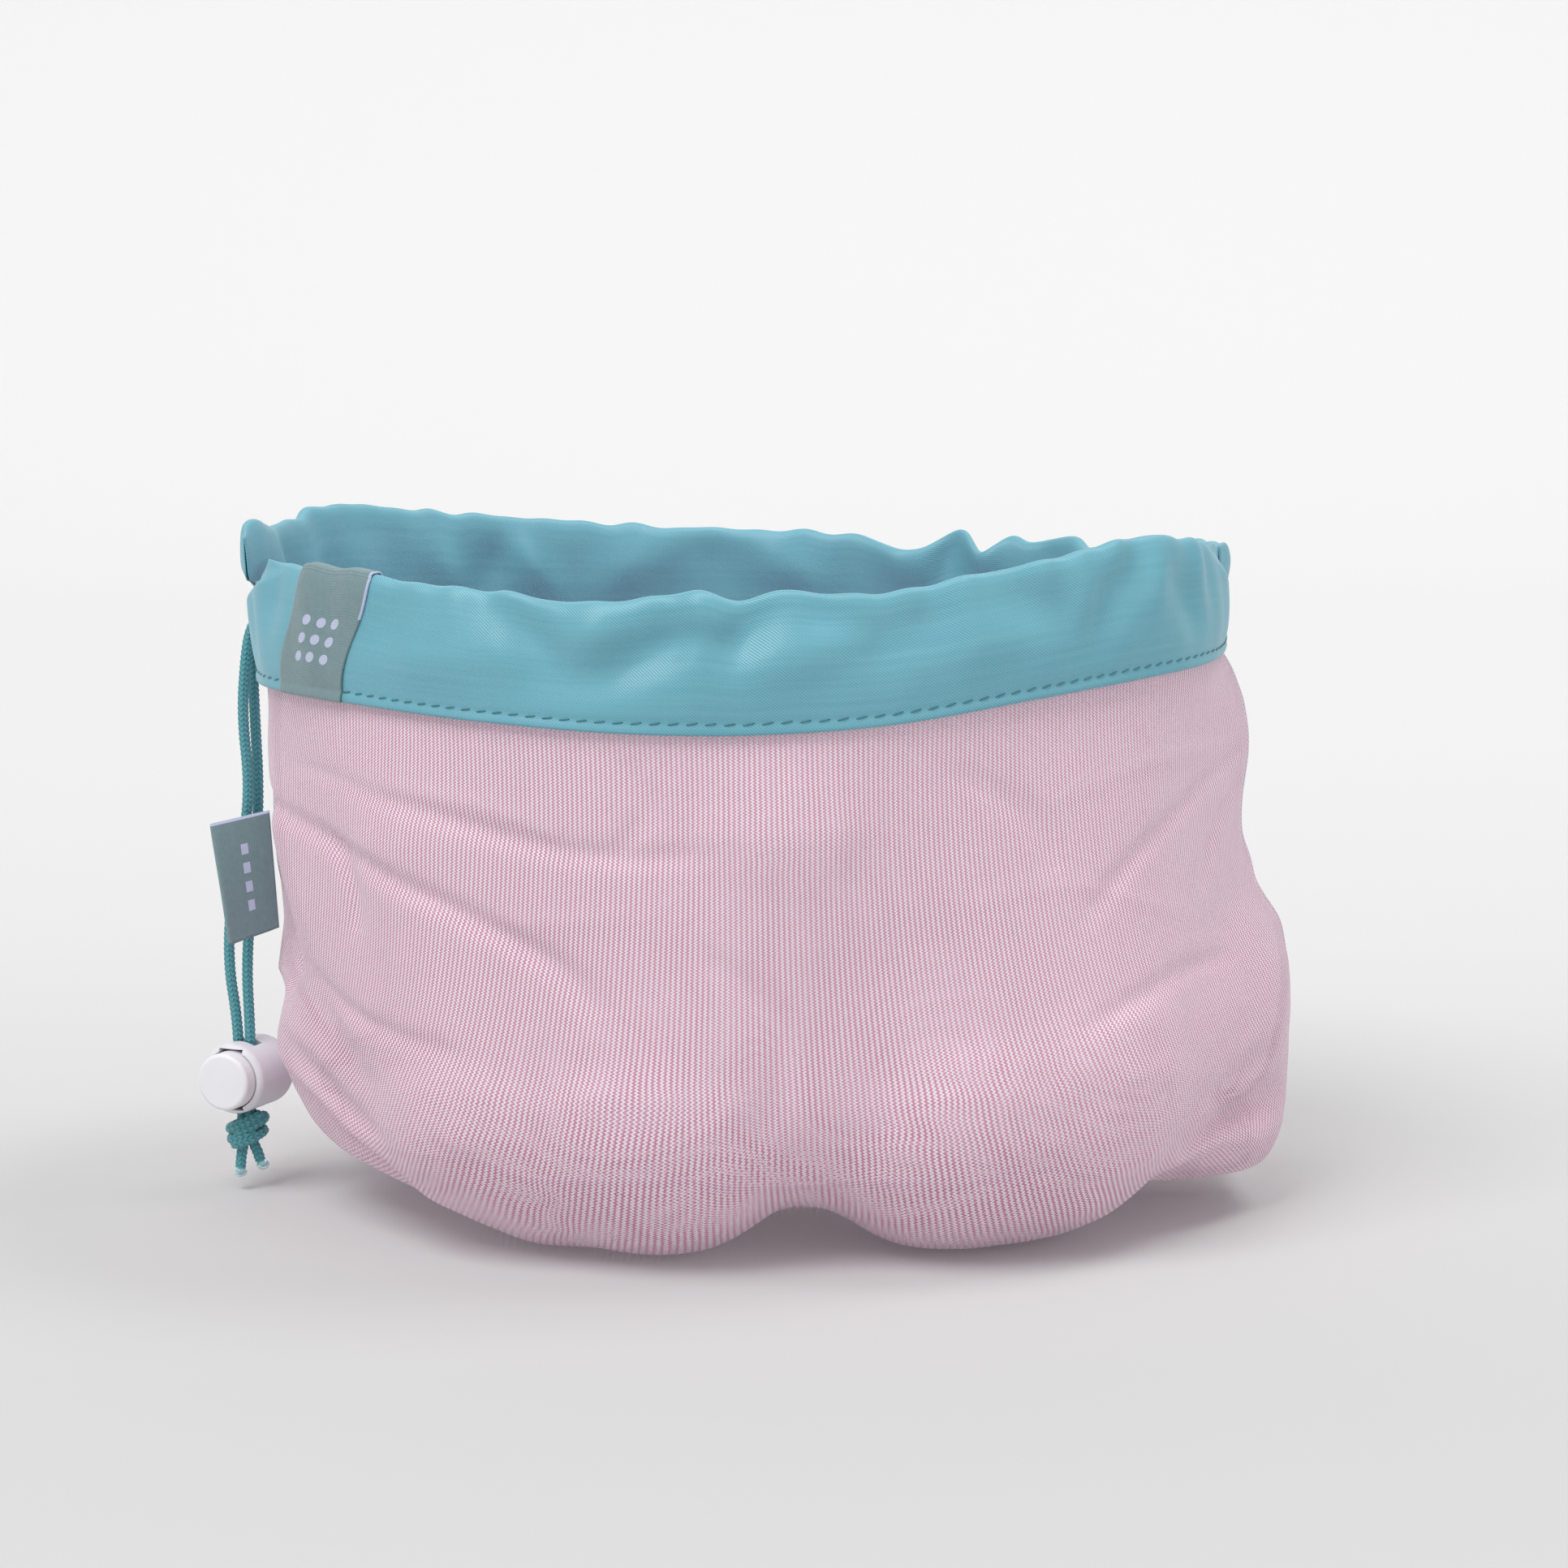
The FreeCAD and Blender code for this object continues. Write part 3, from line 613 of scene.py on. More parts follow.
# The rim's and the foot's heights round the bag: u runs from the left seam by the front to the back.
RIM_HEIGHT = [
    (0, 135.2), (0.012, 133.6), (0.034, 131.2), (0.057, 130.1), (0.106, 130.4), (0.135, 129.2),
    (0.167, 128.6), (0.195, 127.3), (0.213, 127.9), (0.235, 129.6), (0.25, 128.2), (0.262, 129.6),
    (0.275, 129.3), (0.293, 128.9), (0.317, 130.9), (0.345, 133), (0.368, 134.8), (0.397, 136.4),
    (0.425, 135.2), (0.45, 133), (0.48, 131), (0.51, 130), (0.54, 129.2), (0.575, 126.6), (0.604, 125),
    (0.616, 126.4), (0.638, 124.9), (0.645, 125.4), (0.656, 122.8), (0.669, 126.4), (0.684, 122.2),
    (0.713, 124.8), (0.75, 125.6), (0.78, 126.2), (0.834, 128.9), (0.88, 131.8), (0.928, 134.8),
    (0.955, 133.2), (0.978, 132.6), (0.99, 133.8),
]
FOOT_HEIGHT = [
    (0, 105), (0.06, 105.8), (0.12, 105.4), (0.167, 104.6), (0.213, 103.7), (0.25, 103.7), (0.293, 105),
    (0.347, 108.4), (0.4, 110.2), (0.45, 110.8), (0.5, 110.6), (0.6, 107.6), (0.7, 104.2), (0.8, 103.2),
    (0.9, 104),
]
# How far the rim leans out, in millimetres
RIM_LEAN = [
    (0, 2.2), (0.05, 0.4), (0.1, 0), (0.25, -1), (0.36, -1.2), (0.45, -1.6), (0.505, 0.6), (0.56, -2.2),
    (0.75, -1.8), (0.9, 0.2), (0.97, 1.2),
]
# Where the bag is squarer than an oval: u, millimetres out, half width in u
CORNERS = [(0.055, 3.6, 0.038), (0.945, 2.4, 0.04), (0.43, 1.6, 0.03), (0.57, 1.6, 0.03)]
# Soft dents in the band: u, height above the foot, half width, half height, depth, lean (mm)
DENTS = [
    (0.128, 17, 9, 7, 1.5, 0.5), (0.15, 11, 13, 5, -0.9, 0.3), (0.178, 18, 7, 7, 2.3, -0.9),
    (0.186, 9, 10, 5, 1.1, 0.4), (0.207, 19, 5, 6, -1.6, 0.3), (0.221, 15, 8, 7, 2.9, 1.1),
    (0.24, 22, 5, 4, -1.3, -0.4), (0.252, 19, 5, 6, 2.5, 0.5), (0.27, 14, 9, 5, -1.3, 0.8),
    (0.276, 21, 6, 4, 1.2, -0.5), (0.302, 17, 10, 6, 1.7, 0.6), (0.328, 12, 12, 5, -0.8, 0.3),
    (0.345, 18, 8, 7, 1.9, -0.7), (0.366, 13, 6, 8, -1.1, 0.5), (0.382, 17, 7, 9, 2.2, 0.9),
    (0.403, 19, 5, 7, -1.1, 0.3), (0.42, 14, 6, 8, 1.9, -0.6), (0.446, 18, 6, 8, 1.3, 0.3),
    (0.065, 18, 5, 7, 1.4, 0.3), (0.04, 12, 4, 8, 1.1, -0.3), (0.56, 15, 7, 8, 1.8, 0.3),
    (0.6, 18, 6, 9, 2.2, -0.3), (0.628, 16, 5, 8, -1.6, 0.2), (0.655, 18, 5, 9, 3.4, 0.4),
    (0.672, 17, 4, 9, -2.2, -0.3), (0.69, 16, 6, 8, 2.8, 0.4), (0.735, 14, 7, 7, 2.3, 0.6),
    (0.762, 15, 6, 7, -1.3, 0.3), (0.795, 15, 8, 7, 1.8, -0.6), (0.835, 15, 5, 8, 2.8, 0.6),
    (0.85, 17, 5, 8, -1.6, -0.3), (0.875, 16, 6, 8, 2, 0.5), (0.915, 16, 7, 8, 1.9, 0.3),
    (0.948, 16, 5, 8, 1.9, -0.3), (0.968, 18, 5, 9, -1.3, 0.3), (0.982, 14, 4, 8, 1.5, 0.2),
]
# The folded strip in section: offset out from the middle line (mm) and share of the band's height
SECTION = [
    (0.95, 0.025), (1.3, 0.004), (1.65, 0.01), (1.72, 0.045), (1.5, 0.085), (1.72, 0.125), (2.15, 0.24),
    (2.45, 0.42), (2.45, 0.62), (2.2, 0.8), (1.65, 0.92), (0.85, 0.985), (0, 1), (-0.9, 0.985),
    (-1.75, 0.91), (-2.25, 0.76), (-2.35, 0.55), (-2.05, 0.33), (-1.7, 0.16), (-1.5, 0.085), (-1.6, 0.04),
    (-1.3, 0.004), (-0.95, 0.025),
]
GIRTH = 0.569
BAND_TALL = 25.5  # the band's height, in millimetres
# Small ripples: how many in the girth, where they start and how large they are
RIPPLES = [(k, rng.uniform(0, TURN), rng.uniform(0.6, 1.2)) for k in (19, 27, 34, 47, 61)]
RIPPLE = 0.16


def ripple(u, ripples):
    return RIPPLE * sum(size * np.sin(TURN * k * u + start) for k, start, size in ripples)


def rim_height(u):
    return (through(RIM_HEIGHT, u % 1.0, 1.0) + ripple(u, RIPPLES[2:])) * MM


def foot_height(u):
    return through(FOOT_HEIGHT, u % 1.0, 1.0) * MM


def out_of_band(u):
    """The level direction straight out of the band at u."""
    out = np.stack([-np.cos(TURN * u) / MID_X, -np.sin(TURN * u) / MID_Y, 0 * u], -1)
    return out / np.linalg.norm(out, axis=-1)[..., None]


def from_place(u, at):
    """The way round the bag from at to u, by the shorter side."""
    return (u - at + 0.5) % 1.0 - 0.5


def push(u, height, share):
    """How far the band's cloth lies out of its plain oval: lean, dents and small ripples."""
    far = through(RIM_LEAN, u % 1.0, 1.0) * share**1.3
    for at, size, half_wide in CORNERS:
        far = far + size * np.exp(-((from_place(u, at) / half_wide) ** 2))
    for at, up, half_wide, half_tall, depth, lean in DENTS:
        gap = from_place(u, at) * GIRTH / MM
        rise = height / MM - up
        far = far - depth * np.exp(-(((gap - lean * rise) / half_wide) ** 2) - (rise / half_tall) ** 2)
    return (far + ripple(u, RIPPLES) * share**0.7) * MM


def band_surface(u, offset, share, extra=0.0):
    """A point of the folded strip, from its place round the bag and in the section."""
    foot, rim = foot_height(u), rim_height(u)
    height = (rim - foot) * share
    out = (offset * MM + extra) + push(u, height, share)
    base = np.stack([BAND_CX - MID_X * np.cos(TURN * u), -MID_Y * np.sin(TURN * u), foot + height], -1)
    return base + out[..., None] * out_of_band(u)


def section_points(count):
    """The strip's section, evenly read, with the way along it in millimetres."""
    offsets, shares = (np.array(v) for v in zip(*SECTION))
    way = way_along(np.stack([offsets, shares * BAND_TALL], -1))
    fine = np.linspace(0, way[-1], count)
    return through(list(zip(way, offsets)), fine), through(list(zip(way, shares)), fine), fine


def band_strip(name, start, end, flare=0.0):
    """One strip of the band. start and end give its two edges as functions of the share of height."""
    offset, share, way = section_points(110)
    t = np.linspace(0, 1, 420)[None]
    first, last = start(share)[:, None], end(share)[:, None]
    u = first + (last - first) * t
    offset, share = offset[:, None] + 0 * u, share[:, None] + 0 * u
    # At its two ends the strip is turned in, so its layers draw together a little.
    near_end = np.minimum(u - first, last - u) * GIRTH / MM
    closed = 0.13 + 0.55 * smooth_step(0.55 - share, 0, 0.2)
    offset = offset * (closed + (1 - closed) * smooth_step(near_end, 0, 9))
    spread = flare * MM * (1 - smooth_step(GIRTH * (last - u) / MM, 0, 20)) * smooth_step(share, 0.3, 0.7)
    uv = np.stack([u * GIRTH / MM, way[:, None] + 0 * u], -1)
    made = piece_from_grid(name, band_surface(u, offset, share, spread), SATIN, uv)
    thicken(made, 0.28 * MM)
    return made


def front_start(share):
    return 0.003 + 0.006 * smooth_step(share, 0.2, 0.35) + 0.046 * smooth_step(share, 0.5, 1.0)


def front_end(share):
    return 0.4985 - 0.004 * smooth_step(share, 0.2, 0.4) - 0.026 * smooth_step(share, 0.45, 1.0)


def back_start(share):
    return 0.5015 - 0.012 * smooth_step(share, 0.3, 0.9)


def back_end(share):
    return 0.998 - 0.007 * smooth_step(share, 0.2, 0.35) + 0.026 * smooth_step(share, 0.45, 0.75)


band_front = band_strip("band_front", front_start, front_end)
band_back = band_strip("band_back", back_start, back_end, flare=3.0)


def capsule(line, radius, around=8):
    """Points and faces of a short round-ended thread along a line."""
    t = np.linspace(0, 1, len(line))
    size = radius * np.sqrt(np.clip(1 - (2 * t - 1) ** 6, 0.02, 1))
    points = line[:, None] + size[:, None, None] * rings_along(line, TURN * np.arange(around) / around)
    return points.reshape(-1, 3), grid_faces(len(line), around, wrap=True)


def lockstitch():
    """Slanting stitches round the band's foot, outside and inside."""
    pitch, long = 3.3 * MM, 2.5 * MM
    row, slant = 0.088, 0.009  # the row's height and a stitch's slant, as shares of the band's height
    points, faces, count = [], [], 0
    for face in (1, -1):
        for start in np.arange(0.006, 0.994, pitch / GIRTH):
            t = np.linspace(0, 1, 9)
            u = start + long / GIRTH * t
            share = row + slant * face * (t - 0.5) * 2
            arch = (0.26 - 0.40 * (2 * t - 1) ** 4) * MM
            line = band_surface(u, face * (1.52 + 0 * t), share, face * arch)
            p, f = capsule(line, 0.125 * MM)
            points.append(p)
            faces.append(f + count)
            count += len(p)
    mesh = mesh_from("band_stitches", np.concatenate(points), np.concatenate(faces))
    return new_object("band_stitches", mesh, THREAD)


stitches = lockstitch()


def channel_cord():
    """The drawstring's run in the channel, from the front cord's start round to the back cord's."""
    loop_low, loop_high = corners("drawstring_loop")
    height = (loop_low[2] + loop_high[2]) / 2
    mouth = math.asin(10.5 * MM / MID_Y) / TURN  # where a cord comes out, beside the left seam
    u = np.linspace(mouth, 1 - mouth, 700)
    foot, rim = foot_height(u), rim_height(u)
    line, _ = evenly(band_surface(u, 0 * u, (height - foot) / (rim - foot)), 0.5 * MM)
    points = line[:, None] + CORD_D / 2 * 0.97 * rings_along(line, TURN * np.arange(14) / 14)
    relief = np.full(points.shape[:2], 0.6)
    return piece_from_grid("drawstring_in_channel", points, CORD, relief=relief, wrap=True)


loop_piece = channel_cord()


def rim_label():
    """Woven tape folded over the rim: down the outside to the stitches, and a little way inside."""
    rows = 150
    offset, share, way = section_points(rows)
    keep = (np.arange(rows) < (rows - 1) * 0.62) & (way > 0.4)
    offset, share, way = offset[keep][:, None], share[keep][:, None], way[keep][:, None]
    outside = np.sign(offset) * (0.34 + 0.12 * smooth_step(np.abs(way - 14), 0, 10))
    middle = 0.0875 + 0.014 * smooth_step(share, 0.0, 1.0)
    half_wide = LABEL_WIDE / MM / 2
    across = np.linspace(-half_wide, half_wide, 48)[None] + 0 * way
    u = middle + across * MM / GIRTH
    points = band_surface(u, offset + outside + 0 * u, share + 0 * u)
    points[..., 2] += np.where(np.abs(offset) < 0.9, 0.42 * MM, 0)  # clear of the fold as it turns over
    uv = np.stack([across, way + 0 * across], -1)
    made = piece_from_grid("rim_label_tape", points, RIM_TAPE, uv)
    thicken(made, 0.32 * MM)
    return made


label_piece = rim_label()

TAG_FLAP = math.radians(70)  # how far the tag flaps round to lie against the net


def tag_turn(share):
    """How far the tag turns from the seam's line towards the front, at a share of its height."""
    return np.radians(42 - 20 * share)


def side_tag():
    """A folded loop of woven tape that stands out of the side seam, with a round fold at its end."""
    tag_low, tag_high = corners("side_tag")
    tall = tag_high[2] - tag_low[2]
    reach, gap = 12.0 * MM, 0.75 * MM
    straight = reach - gap / 2
    lead = np.linspace(0, straight, 26)
    fold = np.linspace(-math.pi / 2, math.pi / 2, 13)[1:-1]
    x = np.concatenate([lead, straight + gap / 2 * np.cos(fold), lead[::-1]])
    y = np.concatenate([-gap / 2 + 0 * lead, gap / 2 * np.sin(fold), gap / 2 + 0 * lead])
    x, y = x[None], y[None]
    z = np.linspace(0, tall, 40)[:, None]
    # The tape turns further from the seam's line towards its foot, and its free end droops.
    turn = tag_turn(z / tall) + 0 * x
    curl = 0.6 * MM * (x / reach) ** 2 * np.sin(math.pi * z / tall)
    away = y * (0.4 + 0.6 * smooth_step(x, 0, 3 * MM)) + curl
    place_x = -94.6 * MM - 1.5 * MM * z / tall - x * np.cos(turn) + away * np.sin(turn)
    place_y = -3.4 * MM - x * np.sin(turn) - away * np.cos(turn)
    place_z = tag_low[2] + z + 0.6 * MM - 0.17 * x
    way = way_along(np.stack([x[0], y[0]], -1)) / MM
    uv = np.stack([(z - tall / 2) / MM + 0 * x, way[None] + 0 * z], -1)
    made = piece_from_grid("side_tag_tape", np.stack([place_x, place_y, place_z], -1), TAG_TAPE, uv)
    thicken(made, 0.3 * MM)
    return made


tag_piece = side_tag()

# ---------------- net panels

# The cloth simulation works at ten times the bag's size, with round contents that are taken out again.
UP = 10.0
COLS, ROWS = 84, 52
RING = 2 * COLS
# Contents while the net is simulated: centre and radius in millimetres
CONTENTS = [
    (-63.5, -8, 79, 34.5), (-45, -35, 80, 34), (4, -48, 85, 36), (47, -30, 84, 34), (62.5, 2, 90, 34.5),
    (-44, 32, 84, 34), (3, 46, 86, 36), (46, 32, 86, 34), (-63, -5, 41, 33), (-39, -40, 34, 34),
    (-17, -47, 34.5, 34.5), (36, -43, 34.5, 34.5), (49, -37, 37, 36), (73, -2, 39, 34.5), (-28, 40, 35, 34),
    (30, 40, 35, 34), (4, 2, 31, 31),
]


def ring_index(row, column):
    """A vertex's number: every row but the last is a whole ring, and the last is the bottom seam."""
    column %= RING
    if row < ROWS:
        return row * RING + column
    return ROWS * RING + (column if column <= COLS else RING - column)


def pouch_start():
    """The pouch before it is filled, flattening towards its bottom seam, and its cut-out flat shape."""
    start, flat = [], []
    for row in range(ROWS + 1):
        t = row / ROWS
        column = np.arange(RING if row < ROWS else COLS + 1)
        u = column / RING
        top = band_surface(u, 0 * u, 0.03 + 0 * u)
        wide = 1 + (0.138 / MID_X - 1) * t**2.2
        deep = (1 + 0.05 * math.sin(math.pi * t)) * math.sqrt(max(0.0, 1 - t**2.6))
        x, y = top[:, 0] * wide, top[:, 1] * deep
        # The ears lie folded back against the bag.
        for way, reach, share in ((-1, 0.086, 0.88), (1, 0.100, 0.75)):
            over = np.maximum(way * x - reach, 0) * t
            x, y = x - way * share * over, y + 0.95 * over
        start.append(np.stack([x, y, top[:, 2] + (0.003 - top[:, 2]) * t], -1))
        along = np.where(column <= COLS, column, RING - column) / COLS
        side = np.where((column % COLS == 0) | (row == ROWS), 0, np.where(column < COLS, -1, 1))
        flat.append(np.stack([(along - 0.5) * PANEL_WIDE, side * 0.5 * MM, -t * NET_DROP + 0 * along], -1))
    return np.concatenate(start), np.concatenate(flat)


def cloth_collider(thing, friction):
    """Makes a helper solid to the cloth."""
    thing.modifiers.new("solid", "COLLISION")
    hit = thing.collision
    hit.thickness_outer, hit.thickness_inner, hit.cloth_friction, hit.damping = 0.006, 0.1, friction, 0.5
    return thing


def cube_collider(low, high, friction=0.5):
    """A block between two corners in metres."""
    low, high = np.array(low) * UP, np.array(high) * UP
    bpy.ops.mesh.primitive_cube_add(size=1, location=tuple((low + high) / 2))
    made = bpy.context.object
    made.scale = tuple(high - low)
    return cloth_collider(made, friction)


def filled_pouch():
    """The net's vertices after the contents have grown inside it and it has settled."""
    start, flat = pouch_start()
    faces = [
        [ring_index(r, c), ring_index(r + 1, c), ring_index(r + 1, c + 1), ring_index(r, c + 1)]
        for r in range(ROWS)
        for c in range(RING)
    ]
    scene = bpy.context.scene
    mesh = bpy.data.meshes.new("pouch")
    mesh.from_pydata((start * UP).tolist(), [], faces)
    pouch = linked("pouch", mesh)
    pouch.shape_key_add(name="Basis")
    rest = pouch.shape_key_add(name="flat")
    rest.data.foreach_set("co", (flat * UP).reshape(-1))
    pins = pouch.vertex_groups.new(name="pin")
    pins.add(list(range(RING)), 1.0, "REPLACE")
    pins.add(list(range(RING, 2 * RING)), 0.6, "REPLACE")
    lock_room = cube_collider((-0.154, -0.014, 0.0), (-0.0934, 0.014, 0.044))
    floor = cube_collider((-3, -3, -0.5), (3, 3, 0.0), friction=8.0)
    helpers = [lock_room, floor]
    grown, settled_by = 26, 58  # frames
    for x, y, z, radius in CONTENTS:
        bpy.ops.mesh.primitive_ico_sphere_add(subdivisions=3, radius=1)
        fruit = cloth_collider(bpy.context.object, 5.0)
        for when, at, size in (
            (1, (0.55 * x, 0.12 * y, max(0.9 * z, 30)), 0.35 * radius),
            (grown, (x, y, z), radius),
        ):
            fruit.location = [UP * MM * c for c in at]
            fruit.scale = [UP * MM * size] * 3
            fruit.keyframe_insert("location", frame=when)
            fruit.keyframe_insert("scale", frame=when)
        helpers.append(fruit)
    cloth = pouch.modifiers.new("cloth", "CLOTH")
    s = cloth.settings
    s.quality, s.mass, s.air_damping = 7, 0.25, 2.0
    s.tension_stiffness, s.compression_stiffness, s.shear_stiffness, s.bending_stiffness = 30, 8, 6, 0.35
    s.tension_damping, s.compression_damping, s.shear_damping, s.bending_damping = 8, 8, 8, 0.8
    s.vertex_group_mass, s.pin_stiffness, s.rest_shape_key = "pin", 5, rest
    hits = cloth.collision_settings
    hits.distance_min, hits.collision_quality, hits.friction = 0.008, 3, 5
    hits.use_self_collision, hits.self_distance_min = True, 0.006
    for span in (scene, cloth.point_cache):
        span.frame_start, span.frame_end = 1, settled_by
    for number in range(1, settled_by + 1):
        scene.frame_set(number)
    points = values_of(evaluated_mesh(pouch).vertices, "co", 3) / UP
    for thing in [*helpers, pouch]:
        bpy.data.objects.remove(thing)
    scene.frame_set(1)
    return points


def smoothed(points):
    """The pouch with its smallest wrinkles evened out, most of all beside the left seam."""
    rings = [[ring_index(row, column) for column in range(RING)] for row in range(ROWS + 1)]
    grid = points[np.array(rings)]
    from_seam = np.minimum(np.arange(RING), RING - np.arange(RING))
    beside_seam = 1 - smooth_step(from_seam, 9, 20)
    below_band = smooth_step(np.arange(1, ROWS), 1, 6)[:, None]
    for turn in range(8):
        around = (np.roll(grid, 1, axis=1) + np.roll(grid, -1, axis=1))[1:-1]
        middle = (around + grid[:-2] + grid[2:]) / 4
        share = np.maximum(0.65 * beside_seam, 0.3 if turn < 2 else 0.0) * below_band
        grid[1:-1] += share[..., None] * (middle - grid[1:-1])
    points[: ROWS * RING] = grid[:-1].reshape(-1, 3)
    return points


def finish_pouch(points):
    """Draws the foot up between its lobes and leaves the side tag room to lie against the net."""
    x, y, z = points.T.copy()
    low = 1 - smooth_step(z, 0.0, 0.034)
    # Between two lobes: x, half width, front or back, lift
    gaps = ((0.010, 0.014, -1, 0.003), (-0.054, 0.010, -1, 0.0028), (0.004, 0.018, 1, 0.004))
    for at, half_wide, side, lift in gaps:
        lobe = np.exp(-(((x - at) / half_wide) ** 2)) * low * smooth_step(side * y, 0.022, 0.052)
        z = z + lift * lobe
        y = y - side * 0.7 * lift * lobe
    tag_low, tag_high = (corner[2] for corner in corners("side_tag"))
    up = np.clip((z - tag_low) / (tag_high - tag_low), 0, 1)
    slope = np.tan(TAG_FLAP - math.pi / 2 + tag_turn(up))
    flat_tag = -0.0931 + slope * (-y - 0.0034)
    near = smooth_step(z, tag_low - 0.020, tag_low - 0.001)
    near = near * (1 - smooth_step(z, tag_high + 0.001, tag_high + 0.020))
    near = near * smooth_step(-y, -0.003, 0.004) * (1 - smooth_step(-y, 0.015, 0.032))
    x = np.where(x < 0, x + near * np.maximum(flat_tag - x, 0), x)
    # A soft limit on either side: side, where it starts, how far past it the net can reach
    for side, limit, over in ((1, 0.104, 0.008), (-1, 0.0942, 0.0016)):
        past = np.maximum(side * x - limit, 0)
        x = np.where(past > 0, side * (limit + over * np.tanh(past / (1.5 * over))), x)
    return np.stack([x, y, np.maximum(z, 0.6 * MM)], -1)


pouch_points = finish_pouch(smoothed(filled_pouch()))


def panel_grid(front):
    """One panel's points as a grid, from inside the channel down to the bottom seam, with its cloth UV."""
    columns = np.arange(COLS + 1) if front else np.arange(RING, COLS - 1, -1)
    rows = [[ring_index(r, int(c)) for c in columns] for r in range(ROWS + 1)]
    points = pouch_points[np.array(rows)]
    points = np.concatenate([points[:1] + np.array((0, 0, NET_HIDDEN)), points])
    down = np.concatenate([[-NET_HIDDEN / MM], np.linspace(0, NET_DROP / MM, ROWS + 1)])
    across = np.linspace(0, PANEL_WIDE / MM, COLS + 1)
    uv = np.stack(np.meshgrid(across, down), -1)
    return points, uv


# Creases: height out of the cloth, half width, then points across the panel and down it (mm)
FRONT_CREASES = [
    (1.9, 3.6, (8, 36), (40, 44), (83, 57), (108, 70), (118, 84)),
    (1.5, 3.0, (48, 44), (58, 58), (61, 74)),
    (1.3, 3.6, (42, 25), (76, 30), (112, 37), (134, 36)),
    (1.2, 3.0, (16, 58), (26, 78), (24, 98), (34, 112)),
    (1.2, 3.2, (44, 92), (66, 100), (92, 99)),
    (1.3, 3.0, (276, 34), (250, 40), (222, 52), (206, 66)),
    (1.2, 2.8, (278, 42), (258, 54), (246, 70)),
    (1.0, 3.2, (180, 16), (196, 34), (200, 52)),
    (1.2, 3.0, (136, 64), (146, 84), (147, 104), (143, 122)),
    (1.0, 3.0, (196, 96), (226, 90), (252, 92)),
    (0.9, 2.6, (120, 8), (124, 24), (118, 36)),
]
BACK_CREASES = [
    (1.6, 3.4, (10, 40), (48, 50), (88, 62), (112, 80)),
    (1.4, 3.2, (274, 36), (236, 46), (204, 62)),
    (1.2, 3.0, (134, 58), (144, 84), (140, 110)),
    (1.2, 3.0, (60, 90), (88, 98), (116, 94)),
    (1.1, 3.0, (180, 92), (212, 88), (244, 96)),
]


def crease(thing, creases):
    """Raises soft ridges out of a panel along lines drawn on its flat cloth."""
    mesh = thing.data
    corner = values_of(mesh.loops, "vertex_index", 1).astype(int)[:, 0]
    flat = np.empty((len(mesh.vertices), 2))
    flat[corner] = values_of(mesh.uv_layers["cloth"].data, "uv", 2)
    rise = np.zeros(len(flat))
    for height, half_wide, *points in creases:
        points = np.array(points, float)
        way = np.linspace(0, 1, len(points))
        fine = np.linspace(0, 1, 60)
        line = np.stack([through(list(zip(way, points[:, k])), fine) for k in range(2)], -1)
        gap = np.linalg.norm(flat[:, None] - line[None], axis=2)
        near = gap.argmin(1)
        taper = np.sin(math.pi * np.clip(fine[near], 0.02, 0.98)) ** 0.6
        rise += height * taper * np.exp(-((gap.min(1) / half_wide) ** 2))
    raised = values_of(mesh.vertices, "co", 3) + rise[:, None] * MM * values_of(mesh.vertices, "normal", 3)
    mesh.vertices.foreach_set("co", raised.reshape(-1))
    mesh.update()


def net_panel(name, front):
    points, uv = panel_grid(front)
    if not front:
        points, uv = points[:, ::-1], uv[:, ::-1]
    made = piece_from_grid(name, points, NET, uv)
    soften(made, 2)
    crease(made, FRONT_CREASES if front else BACK_CREASES)
    return made


net_front = net_panel("net_front", True)
net_back = net_panel("net_back", False)


def seam(name, line, inward):
    """A sewn seam: a low ridge outside, and the turned allowance standing inside."""
    way = way_along(line) / MM
    steps = np.array([-0.30, 0.0, 0.5, 1.0, 1.5]) * MM
    points = line[:, None] + steps[None, :, None] * inward[:, None]
    uv = np.stack([steps[None] / MM * 1.6 + 0 * way[:, None], way[:, None] + 0 * steps[None]], -1)
    made = piece_from_grid(name, points, NET_SEAM, uv)
    thicken(made, 0.6 * MM)
    soften(made, 1)
    return made


def into_bag(line, goal):
    """The way into the bag all along a seam's line, square to it and evened out."""
    along = np.gradient(line, axis=0)
    along /= np.linalg.norm(along, axis=1)[:, None] + 1e-12
    inward = goal - line
    inward -= along * (inward * along).sum(1)[:, None]
    inward /= np.linalg.norm(inward, axis=1)[:, None]
    for k in range(3):
        inward[:, k] = np.convolve(np.pad(inward[:, k], 3, "edge"), np.ones(7) / 7, "valid")
    return inward / np.linalg.norm(inward, axis=1)[:, None]


def side_seam(name, column):
    line = pouch_points[[ring_index(r, column) for r in range(ROWS + 1)]]
    return seam(name, line, into_bag(line, np.array((0, 0, 0.050))))


seam_left = side_seam("seam_left", 0)
seam_right = side_seam("seam_right", COLS)
bottom_line = pouch_points[[ring_index(ROWS, c) for c in range(1, COLS)]]
seam_bottom = seam("seam_bottom", bottom_line, into_bag(bottom_line, bottom_line + np.array((0, 0, 0.02))))

# ---------------- cord lock


def recolour(node, material):
    """Gives a CAD node's object a finished material."""
    for thing in bpy.data.objects:
        if thing.type == "MESH" and thing.get("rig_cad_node") == node:
            thing.data.materials.clear()
            thing.data.materials.append(material)


def lock_spring():
    """The coil spring, as its own piece."""
    source = next(o for o in bpy.data.objects if o.get("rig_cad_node") == "cord_lock_spring")
    mesh = source.data.copy()
    mesh.transform(source.matrix_world)
    mesh.materials.clear()
    return new_object("lock_spring", mesh, STEEL)


spring = lock_spring()

# ---------------- light and stage


